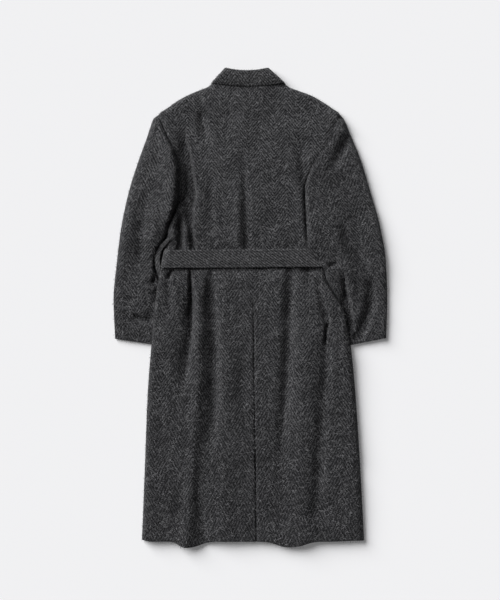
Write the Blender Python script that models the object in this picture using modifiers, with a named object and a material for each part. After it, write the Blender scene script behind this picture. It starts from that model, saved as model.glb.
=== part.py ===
"""Belted herringbone overcoat laid face down, back uppermost.

Metres, +Z up, +Y toward the collar, resting on z = 0.
Every panel is an open surface given thickness, and lies on the panel under it.
"""
import math
from collections import namedtuple

import bmesh
import bpy
import numpy as np

# Cloth and seams
CLOTH = 0.0024
COLLAR_CLOTH = 0.0022
BELT_CLOTH = 0.0030
LOOP_CLOTH = 0.0020
SEAM_GAP = 0.0003
SEAM_Z = 0.0070
UNDER_SEAM_Z = 0.0055
ROLL = 0.014
CURL = 0.009
SEAM_DIP = 0.0025
SEAM_DIP_REACH = 0.004
VALLEY_FLOOR = 0.0135
EDGE_FLOOR = 0.0105
SLEEVE_SEAM_RISE = 0.0008

# Front overlap and back vent
OVERLAP = 0.055
OVERLAP_RISE = 0.0030
OVERLAP_RAMP = 0.030
VENT_TOP = 0.047
VENT_DROP = 0.0031
SEAM_STEPS = (0.0, 0.005)

# Belt and loops
BELT_Y = 0.1290
BELT_TILT = 0.008
BELT_WIDTH = 0.047
BELT_LEVEL = 0.0215
BELT_FREE = 0.0020
BELT_PRESS = 0.0010
BELT_PRESS_SLOPE = 0.35
BELT_CORNER = 0.005
BELT_END = 0.016
FRONT_LIFT_BELT = 0.0034
LOOP_MIDDLE = 0.1337
LOOP_LENGTH = 0.082
LOOP_WIDTH = 0.011
LOOP_Z = 0.0105

# Collar
COLLAR_OPENING = 0.006
COLLAR_TURN = 0.010
FRONT_LIFT_COLLAR = 0.0032

# Grid steps
EDGE_STEPS = (0.0, 0.0008, 0.0025, 0.006, 0.014)
UNDER_STEPS = (0.0, 0.0008, 0.003, 0.009)
BACK_COLUMNS = 11
SLEEVE_COLUMNS = 4

RowZone = namedtuple("RowZone", "name low high count")
ROW_ZONES = [
    RowZone("hem to cuff", -0.6053, -0.0957, 15),
    RowZone("cuff to belt", -0.0957, 0.0863, 7),
    RowZone("belt", 0.0863, 0.1700, 5),
    RowZone("belt to shoulder", 0.1700, 0.5023, 15),
    RowZone("shoulder", 0.5023, 0.5959, 7),
]

# Back and fronts: side edges, height of the back, height of its edges, gaps to the sleeves
Section = namedtuple("Section", "name y left right lift edge_left edge_right gap_left gap_right")
SECTIONS = [
    Section("hem", -0.6053, -0.2831, 0.2941, 0.0200, 0.007, 0.007, 0.0010, 0.0010),
    Section("lower skirt", -0.4077, -0.2753, 0.2837, 0.0240, 0.007, 0.007, 0.0010, 0.0010),
    Section("skirt", -0.2127, -0.2675, 0.2707, 0.0270, 0.007, 0.007, 0.0010, 0.0010),
    Section("cuff level", -0.0957, -0.2584, 0.2590, 0.0270, 0.007, 0.007, 0.0010, 0.0010),
    Section("hip", -0.0047, -0.2506, 0.2369, 0.0270, 0.007, 0.007, 0.0010, 0.0010),
    Section("high hip", 0.0473, -0.2441, 0.2135, 0.0255, 0.007, 0.007, 0.0040, 0.0020),
    Section("below belt", 0.0863, -0.2369, 0.1940, 0.0230, 0.0085, 0.0085, 0.0140, 0.0100),
    Section("belt low", 0.1045, -0.2311, 0.1927, 0.0210, 0.0085, 0.0085, 0.0200, 0.0125),
    Section("belt", 0.1253, -0.2285, 0.1758, 0.0210, 0.0085, 0.0085, 0.0220, 0.0130),
    Section("belt high", 0.1513, -0.2272, 0.1563, 0.0210, 0.0085, 0.0085, 0.0220, 0.0125),
    Section("above belt", 0.1773, -0.2207, 0.1459, 0.0235, 0.0085, 0.0085, 0.0165, 0.0090),
    Section("waist", 0.2085, -0.1999, 0.1446, 0.0255, 0.007, 0.007, 0.0040, 0.0020),
    Section("low chest", 0.2501, -0.1817, 0.1446, 0.0260, 0.010, 0.007, 0.0010, 0.0010),
    Section("chest", 0.3073, -0.1778, 0.1485, 0.0260, 0.010, 0.008, 0.0006, 0.0006),
    Section("underarm", 0.3645, -0.1817, 0.1667, 0.0260, 0.010, 0.012, 0.0003, 0.0003),
    Section("low armhole", 0.4009, -0.1947, 0.1849, 0.0250, 0.014, 0.016, 0.0003, 0.0003),
    Section("armhole", 0.4373, -0.2129, 0.2031, 0.0240, 0.018, 0.018, 0.0003, 0.0003),
    Section("high armhole", 0.4737, -0.2285, 0.2187, 0.0225, 0.016, 0.016, 0.0003, 0.0003),
    Section("shoulder point", 0.5023, -0.2389, 0.2309, 0.0200, 0.008, 0.008, 0.0003, 0.0003),
    Section("shoulder", 0.5205, -0.2155, 0.2083, 0.0205, 0.007, 0.007, 0.0003, 0.0003),
    Section("mid shoulder", 0.5361, -0.1940, 0.1849, 0.0205, 0.007, 0.007, 0.0003, 0.0003),
    Section("near neck", 0.5517, -0.1661, 0.1576, 0.0205, 0.007, 0.007, 0.0003, 0.0003),
    Section("neck slope", 0.5673, -0.1297, 0.1160, 0.0205, 0.0084, 0.0084, 0.0003, 0.0003),
    Section("neck point", 0.5777, -0.1050, 0.0913, 0.0205, 0.0084, 0.0084, 0.0003, 0.0003),
    Section("under collar", 0.5868, -0.0894, 0.0770, 0.0205, 0.0084, 0.0084, 0.0003, 0.0003),
    Section("neck seam", 0.5959, -0.0738, 0.0614, 0.0205, 0.0084, 0.0084, 0.0003, 0.0003),
]

SeamPoint = namedtuple("SeamPoint", "name y x")
BACK_SEAM = [
    SeamPoint("hem", -0.6053, 0.0146),
    SeamPoint("skirt", -0.2387, 0.0094),
    SeamPoint("vent top", 0.0473, 0.0055),
    SeamPoint("belt", 0.1305, 0.0003),
    SeamPoint("chest", 0.3853, -0.0049),
    SeamPoint("neck", 0.5959, -0.0075),
]

# Folds: path from (x0, y0) to (x1, y1) with a sideways bow, widths each side, rise, fade at each end
Fold = namedtuple("Fold", "name x0 y0 x1 y1 bow left right rise fade0 fade1")
BACK_FOLDS = [
    Fold("underarm hollow", -0.1765, 0.400, -0.1713, 0.205, 0.0, 0.020, 0.017, -0.018, 0.25, 0.25),
    Fold("outer gather", -0.2030, 0.218, -0.2045, 0.105, 0.0, 0.009, 0.009, 0.006, 0.25, 0.4),
    Fold("inner gather", -0.1752, 0.215, -0.1735, 0.105, 0.0, 0.009, 0.009, 0.006, 0.25, 0.4),
    Fold("shoulder crease", -0.1479, 0.520, -0.1271, 0.437, 0.0, 0.009, 0.008, -0.0035, 0.3, 0.4),
    Fold("armhole crease", -0.1800, 0.476, -0.1780, 0.405, 0.0, 0.008, 0.008, -0.003, 0.4, 0.4),
    Fold("centre crease", -0.0335, 0.480, -0.0200, 0.105, 0.0, 0.012, 0.011, -0.006, 0.55, 0.12),
    Fold("centre swell", -0.0500, 0.360, -0.0445, 0.105, 0.0, 0.016, 0.014, 0.005, 0.45, 0.18),
    Fold("blade trough", -0.1115, 0.340, -0.1100, 0.175, 0.0, 0.014, 0.014, -0.004, 0.4, 0.3),
    Fold("right crease", 0.1069, 0.480, 0.1420, 0.105, 0.0, 0.014, 0.010, -0.010, 0.5, 0.12),
    Fold("left outer valley", -0.1661, 0.150, -0.1910, -0.190, 0.012, 0.011, 0.010, -0.0125, 0.13, 0.35),
    Fold("left ridge", -0.1440, 0.150, -0.1700, -0.620, -0.010, 0.014, 0.014, 0.010, 0.06, 0.0),
    Fold("left inner valley", -0.1219, 0.150, -0.1349, -0.400, 0.006, 0.013, 0.012, -0.0125, 0.08, 0.4),
    Fold("left hem valley", -0.1349, -0.360, -0.1220, -0.620, 0.0, 0.018, 0.018, -0.005, 0.5, 0.0),
    Fold("vent trough", -0.0205, -0.050, -0.0205, -0.360, 0.0, 0.016, 0.016, -0.004, 0.4, 0.4),
    Fold("skirt swell", -0.0673, 0.050, -0.0650, -0.620, 0.0, 0.028, 0.028, 0.004, 0.3, 0.0),
    Fold("right inner valley", 0.0870, 0.150, 0.0640, -0.400, 0.003, 0.012, 0.012, -0.011, 0.08, 0.45),
    Fold("right ridge", 0.1173, 0.020, 0.1100, -0.620, 0.0, 0.022, 0.020, 0.009, 0.35, 0.0),
    Fold("right outer valley", 0.1901, -0.040, 0.1459, -0.600, -0.0143, 0.014, 0.013, -0.010, 0.2, 0.1),
    Fold("belt pleat", 0.1440, 0.150, 0.1580, 0.010, 0.0, 0.010, 0.010, -0.005, 0.3, 0.5),
]

# Hem: how far each fold carries the hem edge down
HemDrop = namedtuple("HemDrop", "name x left right drop")
HEM_DROPS = [
    HemDrop("left ridge", -0.1700, 0.020, 0.038, 0.0175),
    HemDrop("right ridge", 0.1140, 0.036, 0.036, 0.0150),
    HemDrop("left corner", -0.2900, 0.020, 0.020, -0.0050),
]
HEM_REACH = 0.080

# Sleeves: inner and outer edge of each section, height near each edge
Sleeve = namedtuple("Sleeve", "name y_inner y_outer x_outer lift_outer lift_inner")
LEFT_SLEEVE = [
    Sleeve("cuff", -0.0957, -0.0827, -0.3528, 0.0190, 0.0130),
    Sleeve("wrist", 0.0213, 0.0239, -0.3554, 0.0200, 0.0130),
    Sleeve("forearm", 0.1201, 0.1201, -0.3481, 0.0210, 0.0170),
    Sleeve("elbow", 0.2085, 0.2085, -0.3370, 0.0220, 0.0230),
    Sleeve("upper arm", 0.3073, 0.3073, -0.3156, 0.0230, 0.0270),
    Sleeve("low cap", 0.3853, 0.3814, -0.2922, 0.0230, 0.0260),
    Sleeve("cap", 0.4581, 0.4503, -0.2675, 0.0220, 0.0240),
    Sleeve("cap top", 0.4870, 0.4765, -0.2590, 0.0200, 0.0205),
    Sleeve("shoulder point", 0.5023, 0.4919, -0.2532, 0.0085, 0.0085),
]
RIGHT_SLEEVE = [
    Sleeve("cuff", -0.0957, -0.0775, 0.3513, 0.0190, 0.0150),
    Sleeve("wrist", 0.0213, 0.0239, 0.3554, 0.0200, 0.0160),
    Sleeve("forearm", 0.1201, 0.1201, 0.3507, 0.0210, 0.0240),
    Sleeve("elbow", 0.2085, 0.2085, 0.3362, 0.0220, 0.0270),
    Sleeve("upper arm", 0.3073, 0.3073, 0.3089, 0.0230, 0.0280),
    Sleeve("low cap", 0.3853, 0.3853, 0.2850, 0.0230, 0.0260),
    Sleeve("cap", 0.4581, 0.4555, 0.2564, 0.0220, 0.0240),
    Sleeve("cap top", 0.4870, 0.4790, 0.2470, 0.0200, 0.0205),
    Sleeve("shoulder point", 0.5023, 0.4932, 0.2395, 0.0085, 0.0085),
]
LEFT_SLEEVE_FOLDS = [
    Fold("inner ridge", -0.2180, 0.430, -0.1990, 0.235, 0.012, 0.016, 0.012, 0.005, 0.4, 0.4),
    Fold("upper trough", -0.2620, 0.300, -0.3000, 0.235, 0.0, 0.012, 0.012, -0.004, 0.4, 0.4),
    Fold("elbow trough", -0.2960, 0.216, -0.3060, 0.125, 0.0, 0.010, 0.010, -0.004, 0.4, 0.4),
    Fold("loop dent", -0.2530, 0.160, -0.2600, 0.066, 0.0, 0.012, 0.012, -0.007, 0.3, 0.3),
    Fold("cuff crease", -0.3000, -0.010, -0.2560, -0.030, 0.0, 0.009, 0.009, -0.005, 0.3, 0.1),
]
RIGHT_SLEEVE_FOLDS = [
    Fold("cap dent", 0.2420, 0.457, 0.1770, 0.333, 0.0, 0.014, 0.014, -0.008, 0.15, 0.4),
    Fold("elbow valley", 0.2005, 0.222, 0.3040, 0.045, 0.012, 0.012, 0.011, -0.009, 0.3, 0.15),
    Fold("cuff valley", 0.3045, 0.060, 0.2680, -0.078, 0.012, 0.011, 0.010, -0.010, 0.15, 0.1),
    Fold("sleeve ridge", 0.1640, 0.262, 0.2680, 0.000, 0.008, 0.014, 0.013, 0.008, 0.3, 0.3),
    Fold("inner tuck", 0.2230, 0.085, 0.2600, -0.045, 0.0, 0.011, 0.010, -0.008, 0.2, 0.2),
]
SLEEVE_FLOOR = 0.0108

# Collar rows from the leaf's edge, over the fold, to the neck seam
CollarRow = namedtuple("CollarRow", "name y_middle y_side centre half low high")
COLLAR_ROWS = [
    CollarRow("leaf edge", 0.5757, 0.5845, -0.0075, 0.0960, 0.0000, 0.0240),
    CollarRow("leaf low", 0.5890, 0.5955, -0.0084, 0.0850, 0.0000, 0.0246),
    CollarRow("leaf high", 0.6040, 0.6090, -0.0095, 0.0712, 0.0000, 0.0244),
    CollarRow("leaf top", 0.6140, 0.6185, -0.0105, 0.0615, 0.0001, 0.0240),
    CollarRow("fold outside", 0.6177, 0.6224, -0.0108, 0.0574, 0.0010, 0.0231),
    CollarRow("fold crest", 0.6186, 0.6234, -0.0108, 0.0556, 0.0029, 0.0211),
    CollarRow("fold inside", 0.6177, 0.6224, -0.0108, 0.0542, 0.0048, 0.0191),
    CollarRow("stand top", 0.6140, 0.6180, -0.0103, 0.0560, 0.0057, 0.0182),
    CollarRow("neck seam", 0.5966, 0.5966, -0.0065, 0.0690, 0.0057, 0.0182),
]


def curve_through(stations, values):
    """Smooth curve through a table's column that never overshoots its rows."""
    order = np.argsort(stations)
    s = np.asarray(stations, float)[order]
    v = np.asarray(values, float)[order]
    h = np.diff(s)
    slope = np.diff(v) / h
    tangent = np.zeros_like(v)
    tangent[0] = slope[0]
    tangent[-1] = slope[-1]
    for i in range(1, len(v) - 1):
        if slope[i - 1] * slope[i] > 0:
            before = 2 * h[i] + h[i - 1]
            after = h[i] + 2 * h[i - 1]
            tangent[i] = (before + after) / (before / slope[i - 1] + after / slope[i])

    def at(place):
        p = np.clip(place, s[0], s[-1])
        i = np.clip(np.searchsorted(s, p) - 1, 0, len(h) - 1)
        t = (p - s[i]) / h[i]
        return (v[i] * (1 + 2 * t) * (1 - t) ** 2 + h[i] * tangent[i] * t * (1 - t) ** 2
                + v[i + 1] * t * t * (3 - 2 * t) + h[i] * tangent[i + 1] * t * t * (t - 1))

    return at


def columns_of(table, key):
    """One curve per named column of a table, along the column called key."""
    stations = [getattr(row, key) for row in table]
    names = [name for name in table[0]._fields if name not in ("name", key)]
    return {name: curve_through(stations, [getattr(row, name) for row in table]) for name in names}


BODY = columns_of(SECTIONS, "y")
SEAM = columns_of(BACK_SEAM, "y")["x"]


def ease(t):
    t = np.clip(t, 0.0, 1.0)
    return t * t * (3 - 2 * t)


def rounded(distance, reach):
    """Quarter round that starts upright at an edge and levels off at its reach."""
    t = np.clip(distance / reach, 0.0, 1.0)
    return np.sqrt(1 - (1 - t) ** 2)


def fold_height(folds, x, y):
    total = 0.0
    for fold in folds:
        dx = fold.x1 - fold.x0
        dy = fold.y1 - fold.y0
        length = math.hypot(dx, dy)
        along = ((x - fold.x0) * dx + (y - fold.y0) * dy) / length ** 2
        inside = min(max(along, 0.0), 1.0)
        across = ((y - fold.y0) * dx - (x - fold.x0) * dy) / length
        across -= fold.bow * 4 * inside * (1 - inside)
        width = fold.left if across < 0 else fold.right
        start = ease(along / fold.fade0) if fold.fade0 else 1.0
        end = ease((1 - along) / fold.fade1) if fold.fade1 else 1.0
        total += fold.rise * start * end * math.exp(-(across / width) ** 2)
    return total


def side_distance(x, y, side):
    """Distance from a side edge of the body, square to that edge."""
    step = 0.002
    edge = BODY[side]
    slope = (edge(y + step) - edge(y - step)) / (2 * step)
    across = x - edge(y) if side == "left" else edge(y) - x
    return across / math.sqrt(1 + slope ** 2)


def belt_middle(x):
    return BELT_Y + BELT_TILT * x


def back_height(x, y):
    """Height of the outer face of the back."""
    h = BODY["lift"](y) + fold_height(BACK_FOLDS, x, y)
    left = side_distance(x, y, "left")
    right = side_distance(x, y, "right")
    inner = ease((min(left, right) - 0.010) / 0.040)
    low = EDGE_FLOOR + (VALLEY_FLOOR - EDGE_FLOOR) * inner
    h = max(h, low)
    outside = max(abs(y - belt_middle(x)) - BELT_WIDTH / 2 - 0.004, 0.0)
    h = min(h, BELT_LEVEL - BELT_PRESS + BELT_PRESS_SLOPE * outside)
    h -= SEAM_DIP * math.exp(-((x - SEAM(y)) / SEAM_DIP_REACH) ** 2)
    for side, distance in (("left", left), ("right", right)):
        edge = BODY["edge_" + side](y)
        h = edge + (h - edge) * rounded(distance, ROLL)
    return h


def front_lift(y):
    """How far the fronts ride up over the collar's and the belt's front stretches."""
    over_belt = ease(1 - (abs(y - BELT_Y) - 0.029) / 0.014)
    over_collar = ease((y - 0.545) / 0.022)
    return FRONT_LIFT_BELT * over_belt + FRONT_LIFT_COLLAR * over_collar


def closed(y, side):
    """One where the side is sewn shut, nought where it opens into the armhole."""
    return 1 - ease((BODY["edge_" + side](y) - SEAM_Z - 0.0005) / 0.006)


def hem_shift(x, y):
    fade = ease(1 - (y - SECTIONS[0].y) / HEM_REACH)
    shift = 0.0
    for drop in HEM_DROPS:
        width = drop.left if x < drop.x else drop.right
        shift -= drop.drop * math.exp(-((x - drop.x) / width) ** 2)
    return shift * fade


def body_rows(low, high):
    rows = []
    for zone in ROW_ZONES:
        rows += list(np.linspace(zone.low, zone.high, zone.count + 1)[:-1])
    rows.append(ROW_ZONES[-1].high)
    return [y for y in rows if low - 1e-6 <= y <= high + 1e-6]


def edge_stretch(y, side):
    """Edge steps are wider across where the outline slopes."""
    step = 0.002
    slope = (BODY[side](y + step) - BODY[side](y - step)) / (2 * step)
    return min(math.sqrt(1 + slope ** 2), 2.2)


def spread(start, end, first_steps, last_steps, middle):
    """Places from start to end: given steps at each end, even ones between."""
    width = end - start
    room = min(1.0, 0.45 * width / max(first_steps[-1], 1e-9), 0.45 * width / max(last_steps[-1], 1e-9))
    head = [start + step * room for step in first_steps]
    tail = [end - step * room for step in reversed(last_steps)]
    between = np.linspace(head[-1], tail[0], middle + 2)[1:-1]
    return head + list(between) + tail


def scaled(steps, factor):
    return [step * factor for step in steps]


def dressed(name, colour, thickness, offset, points, collection):
    """Sheet through rows of points, given its thickness and its own material."""
    rows = len(points)
    columns = len(points[0])
    grid = bmesh.new()
    bmesh.ops.create_grid(grid, x_segments=columns - 1, y_segments=rows - 1, size=1.0)
    for vertex in grid.verts:
        column = round((vertex.co.x + 1) / 2 * (columns - 1))
        row = round((vertex.co.y + 1) / 2 * (rows - 1))
        vertex.co = points[row][column]
    mesh = bpy.data.meshes.new(name)
    grid.to_mesh(mesh)
    grid.free()
    material = bpy.data.materials.new(name + "_cloth")
    material.use_nodes = True
    shader = material.node_tree.nodes["Principled BSDF"]
    shader.inputs["Base Color"].default_value = (*colour, 1.0)
    shader.inputs["Roughness"].default_value = 0.92
    mesh.materials.append(material)
    sheet = bpy.data.objects.new(name, mesh)
    collection.objects.link(sheet)
    wall = sheet.modifiers.new("wall", "SOLIDIFY")
    wall.thickness = thickness
    wall.offset = offset
    return sheet


def back_points(side):
    rows = []
    for y in body_rows(SECTIONS[0].y, SECTIONS[-1].y):
        seam = float(SEAM(y))
        steps = scaled(EDGE_STEPS, edge_stretch(y, side))
        if side == "left":
            places = spread(float(BODY["left"](y)), seam - SEAM_GAP / 2, steps, SEAM_STEPS, BACK_COLUMNS)
        else:
            places = spread(seam + SEAM_GAP / 2, float(BODY["right"](y)), SEAM_STEPS, steps, BACK_COLUMNS)
        rows.append([(x, y + hem_shift(x, y), float(back_height(x, y))) for x in places])
    return rows


def underlap_points():
    """Strip behind the vent, made from the points of the two back panels beside it."""
    rows = []
    for left, right in zip(back_points("left"), back_points("right")):
        if left[-1][1] <= VENT_TOP:
            rows.append([(x, y, z - VENT_DROP) for x, y, z in left[-3:] + right[:2]])
    return rows


def front_points(side):
    low_rows = list(np.linspace(SECTIONS[0].y + 0.006, ROW_ZONES[0].high, 6)[:-1])
    rows = []
    for y in low_rows + body_rows(ROW_ZONES[0].high, SECTIONS[-1].y):
        seam = float(SEAM(y))
        edge = float(BODY[side](y))
        half = abs(edge - seam)
        lap = min(OVERLAP, 0.45 * half)
        ramp = min(OVERLAP_RAMP, 0.2 * half)
        steps = scaled(UNDER_STEPS, edge_stretch(y, side))
        if side == "left":
            places = spread(edge, seam + lap, steps, (0.0,), 2)
        else:
            inner = [seam - lap, seam + lap + 0.15 * ramp]
            places = inner + spread(seam + lap + ramp, edge, (0.0,), steps, 1)
        row = []
        for x in places:
            lift = front_lift(y)
            if side == "right":
                lift += OVERLAP_RISE * float(ease((seam + lap + ramp - x) / (0.85 * ramp)))
            curl = 1 - rounded(side_distance(x, y, side), CURL)
            lift += (UNDER_SEAM_Z - lift) * curl * closed(y, side)
            row.append((x, y, float(lift)))
        rows.append(row)
    return rows


def sleeve_edges(side, table):
    """Matching inner and outer edge points of each row of a sleeve."""
    sections = columns_of(table, "y_inner")
    sign = -1 if side == "left" else 1
    edges = []
    for y in body_rows(table[0].y_inner, table[-1].y_inner):
        inner_x = float(BODY[side](y) + sign * BODY["gap_" + side](y))
        edges.append((y, inner_x, float(sections["y_outer"](y)), float(sections["x_outer"](y)),
                      float(sections["lift_inner"](y)), float(sections["lift_outer"](y))))
    return edges


def sleeve_points(side, table, folds, upper):
    rows = []
    steps = EDGE_STEPS if upper else UNDER_STEPS
    middle = SLEEVE_COLUMNS if upper else 0
    for y_in, x_in, y_out, x_out, lift_in, lift_out in sleeve_edges(side, table):
        width = abs(x_out - x_in)
        row = []
        for place in spread(0.0, width, steps, steps, middle):
            share = place / width
            x = x_out + (x_in - x_out) * share
            y = y_out + (y_in - y_out) * share
            room = min(1.0, 0.45 * width / ROLL)
            from_outer = place
            from_inner = width - place
            if upper:
                height = lift_out + (lift_in - lift_out) * float(ease(share)) + fold_height(folds, x, y)
                height = max(height, SLEEVE_FLOOR)
                edge_in = float(BODY["edge_" + side](y_in)) + SLEEVE_SEAM_RISE
                height = edge_in + (height - edge_in) * rounded(from_inner, ROLL * room)
                height = SEAM_Z + (height - SEAM_Z) * rounded(from_outer, ROLL * room)
            else:
                outer_curl = 1 - rounded(from_outer, CURL * room)
                inner_curl = (1 - rounded(from_inner, CURL * room)) * closed(y_in, side)
                height = UNDER_SEAM_Z * max(outer_curl, inner_curl)
            row.append((x, y, float(height)))
        rows.append(row if side == "left" else row[::-1])
    return rows


def collar_points():
    """Flattened ring of sections, open at the front, from leaf edge over the fold to the neck seam."""
    run = np.linspace(0.0, 1.0, 4)[:-1]
    turn = np.linspace(-90.0, 90.0, 6)
    across = np.linspace(-1.0, 1.0, 10)[1:-1]
    rows = []
    for level in COLLAR_ROWS:
        straight = level.half - COLLAR_TURN
        middle = (level.low + level.high) / 2
        radius = (level.high - level.low) / 2
        ring = [(-COLLAR_OPENING - (straight - COLLAR_OPENING) * t, level.low) for t in run]
        for angle in np.radians(turn):
            ring.append((-straight - COLLAR_TURN * math.cos(angle), middle + radius * math.sin(angle)))
        ring += [(straight * t, level.high) for t in across]
        for angle in np.radians(turn[::-1]):
            ring.append((straight + COLLAR_TURN * math.cos(angle), middle + radius * math.sin(angle)))
        ring += [(COLLAR_OPENING + (straight - COLLAR_OPENING) * t, level.low) for t in run[::-1]]
        row = []
        for x, z in ring:
            bend = min(abs(x) / level.half, 1.0) ** 2
            row.append((level.centre + x, level.y_middle + (level.y_side - level.y_middle) * bend, z))
        rows.append(row)
    return rows


def belt_points():
    """Band round the waist: front end, side, across the back, side, front end."""
    rows = []
    for share in (-0.5, 0.0, 0.5):
        y_left = belt_middle(-0.23) + share * BELT_WIDTH
        y_right = belt_middle(0.18) + share * BELT_WIDTH
        left = float(BODY["left"](y_left)) - BELT_FREE - BELT_CLOTH
        right = float(BODY["right"](y_right)) + BELT_FREE + BELT_CLOTH
        top = BELT_LEVEL + BELT_CLOTH
        corner = [(BELT_CORNER * (1 - math.sin(a)), BELT_CORNER * (1 - math.cos(a)))
                  for a in np.radians((0.0, 45.0, 90.0))]
        side = corner + [(step, SEAM_Z + (top - SEAM_Z) * float(rounded(step, BELT_END)))
                         for step in (0.0, 0.001, 0.003, 0.007)]
        path = [(-0.020, 0.0), (0.5 * left, 0.0)]
        path += [(left + x, z) for x, z in side]
        path += [(x, top) for x in np.linspace(left + BELT_END, right - BELT_END, 12)]
        path += [(right - x, z) for x, z in reversed(side)]
        path += [(0.5 * right, 0.0), (0.010, 0.0)]
        row = []
        for x, z in path:
            t = (x - left) / (right - left)
            row.append((x, y_left + (y_right - y_left) * t, z))
        rows.append(row)
    return rows


def loop_points(side, clear, reach, lean):
    """Narrow strip that bows out round the belt from above it to below it."""
    sign = -1 if side == "left" else 1
    rise = math.cos(lean) * LOOP_WIDTH / 2
    spread_x = math.sin(lean) * LOOP_WIDTH / 2
    rows = []
    for angle in np.radians(np.linspace(180.0, 0.0, 10)):
        y = LOOP_MIDDLE + LOOP_LENGTH / 2 * math.cos(angle)
        x = float(BODY[side](y)) + sign * (clear + reach * math.sin(angle))
        low = (x + sign * spread_x, y, LOOP_Z - rise)
        high = (x - sign * spread_x, y, LOOP_Z + rise)
        rows.append([low, high] if side == "left" else [high, low])
    return rows


def build():
    for item in list(bpy.data.objects):
        bpy.data.objects.remove(item, do_unlink=True)
    coat = bpy.data.collections.new("herringbone_overcoat")
    bpy.context.scene.collection.children.link(coat)
    tweed = (0.037, 0.037, 0.040)
    collar_tweed = (0.034, 0.034, 0.037)
    belt_tweed = (0.040, 0.040, 0.043)
    for side in ("left", "right"):
        table = LEFT_SLEEVE if side == "left" else RIGHT_SLEEVE
        folds = LEFT_SLEEVE_FOLDS if side == "left" else RIGHT_SLEEVE_FOLDS
        dressed("back_" + side, tweed, CLOTH, -1.0, back_points(side), coat)
        dressed("front_" + side, tweed, CLOTH, 1.0, front_points(side), coat)
        sleeve = "sleeve_" + side
        dressed(sleeve + "_top", tweed, CLOTH, -1.0, sleeve_points(side, table, folds, True), coat)
        dressed(sleeve + "_under", tweed, CLOTH, 1.0, sleeve_points(side, table, folds, False), coat)
    dressed("vent_underlap", tweed, CLOTH, -1.0, underlap_points(), coat)
    dressed("collar", collar_tweed, COLLAR_CLOTH, -1.0, collar_points(), coat)
    dressed("belt", belt_tweed, BELT_CLOTH, -1.0, belt_points(), coat)
    dressed("belt_loop_left", belt_tweed, LOOP_CLOTH, 1.0,
            loop_points("left", 0.0017, 0.0138, math.radians(38.0)), coat)
    dressed("belt_loop_right", belt_tweed, LOOP_CLOTH, 1.0,
            loop_points("right", 0.0025, 0.0058, 0.0), coat)


build()
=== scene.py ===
"""Belted herringbone overcoat laid face down: its cloth, sewing and nap, on a pale studio floor.

Metres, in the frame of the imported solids: +Y toward the collar, the floor at z = 0.
"""
import math
from collections import namedtuple

import bpy
import numpy as np
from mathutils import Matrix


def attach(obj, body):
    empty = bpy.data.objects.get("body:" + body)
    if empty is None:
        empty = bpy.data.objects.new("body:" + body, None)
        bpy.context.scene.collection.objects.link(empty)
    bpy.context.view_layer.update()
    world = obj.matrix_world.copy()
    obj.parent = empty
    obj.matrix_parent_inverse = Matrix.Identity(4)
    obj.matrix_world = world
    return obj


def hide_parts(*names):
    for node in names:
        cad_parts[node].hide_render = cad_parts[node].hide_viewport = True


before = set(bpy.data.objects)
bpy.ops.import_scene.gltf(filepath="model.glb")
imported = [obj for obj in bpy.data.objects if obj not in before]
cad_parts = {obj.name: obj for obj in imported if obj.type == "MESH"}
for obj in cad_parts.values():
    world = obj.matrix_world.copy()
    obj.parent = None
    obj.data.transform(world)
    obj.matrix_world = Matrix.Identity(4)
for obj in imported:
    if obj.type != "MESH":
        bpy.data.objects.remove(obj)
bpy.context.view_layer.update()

# Thickness of the cloth, side of its points on which a wall grows, angle past which an edge is sharp
CLOTH = 0.0024
COLLAR_CLOTH = 0.0022
BELT_CLOTH = 0.0030
LOOP_CLOTH = 0.0020
WALL_INSIDE = -1.0
WALL_OVER = 1.0
SHARP_ANGLE = math.radians(62.0)

# Seams: gap between pieces, heights, reach of the turn beside them, dip along the back seam and the vent
SEAM_GAP = 0.0003
SEAM_Z = 0.0070
UNDER_SEAM_Z = 0.0055
SLEEVE_ROLL = {"left": 0.009, "right": 0.011}
OUTER_ROLL = {"left": 0.022, "right": 0.011}
CURL = 0.009
SEAM_DIP = 0.0005
SEAM_DIP_REACH = 0.0028
VENT_DIP = 0.0026
VENT_DIP_FADE = 0.03

# A seam higher than this dips softly instead of turning under
FLUSH_FROM = 0.016
FLUSH_OVER = 0.005
FLUSH_REACH = 1.5

# Lowest places of the outer face: in the valleys, near the side edges, on the sleeves
VALLEY_FLOOR = 0.0056
EDGE_FLOOR = 0.0068
SLEEVE_FLOOR = 0.0060
INNER_FROM = 0.010
INNER_OVER = 0.040
SOFT_CORNER = 0.0022

# Hem and cuffs: round of the edge, dip of the stitching above it, squareness of the hem's waves
EDGE_ROUND = 0.0045
EDGE_FALL = 0.0022
HEM_STITCH_UP = 0.026
HEM_STITCH_DIP = 0.0006
HEM_STITCH_REACH = 0.0022
CUFF_STITCH_UP = 0.015
HEM_DROP_POWER = 2.6

# Unevenness of laid cloth: height and size of its lumps, and seeds, of which the sleeves' serve the nap too
SWELL = 0.0030
SWELL_SIZE = 0.050
RIPPLE = 0.0009
RIPPLE_SIZE = 0.017
BACK_SEED = 11
BELT_SHADE_SEED = 14
COLLAR_SEED = 41
BELT_SEED = 61
SLEEVE_SEED = {"left": 21, "right": 31}

# Front overlap and back vent
OVERLAP = 0.055
OVERLAP_RISE = 0.0030
OVERLAP_RAMP = 0.030
LAP_SHARE = 0.45
RAMP_SHARE = 0.2
RAMP_FIRST = 0.1
RAMP_PAST = 1.2
RAMP_RUN = 0.85
FRONT_HEM_UP = 0.006
VENT_TOP = 0.047
VENT_DROP = 0.0031
UNDERLAP_LEFT = 0.024
UNDERLAP_RIGHT = 0.006

# Armholes: where the sides of the body stand open, and how gradually
ARMHOLE_LOW = 0.335
ARMHOLE_LOW_RAMP = 0.05
ARMHOLE_TOP = 0.5023
ARMHOLE_TOP_RAMP = 0.028

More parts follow.
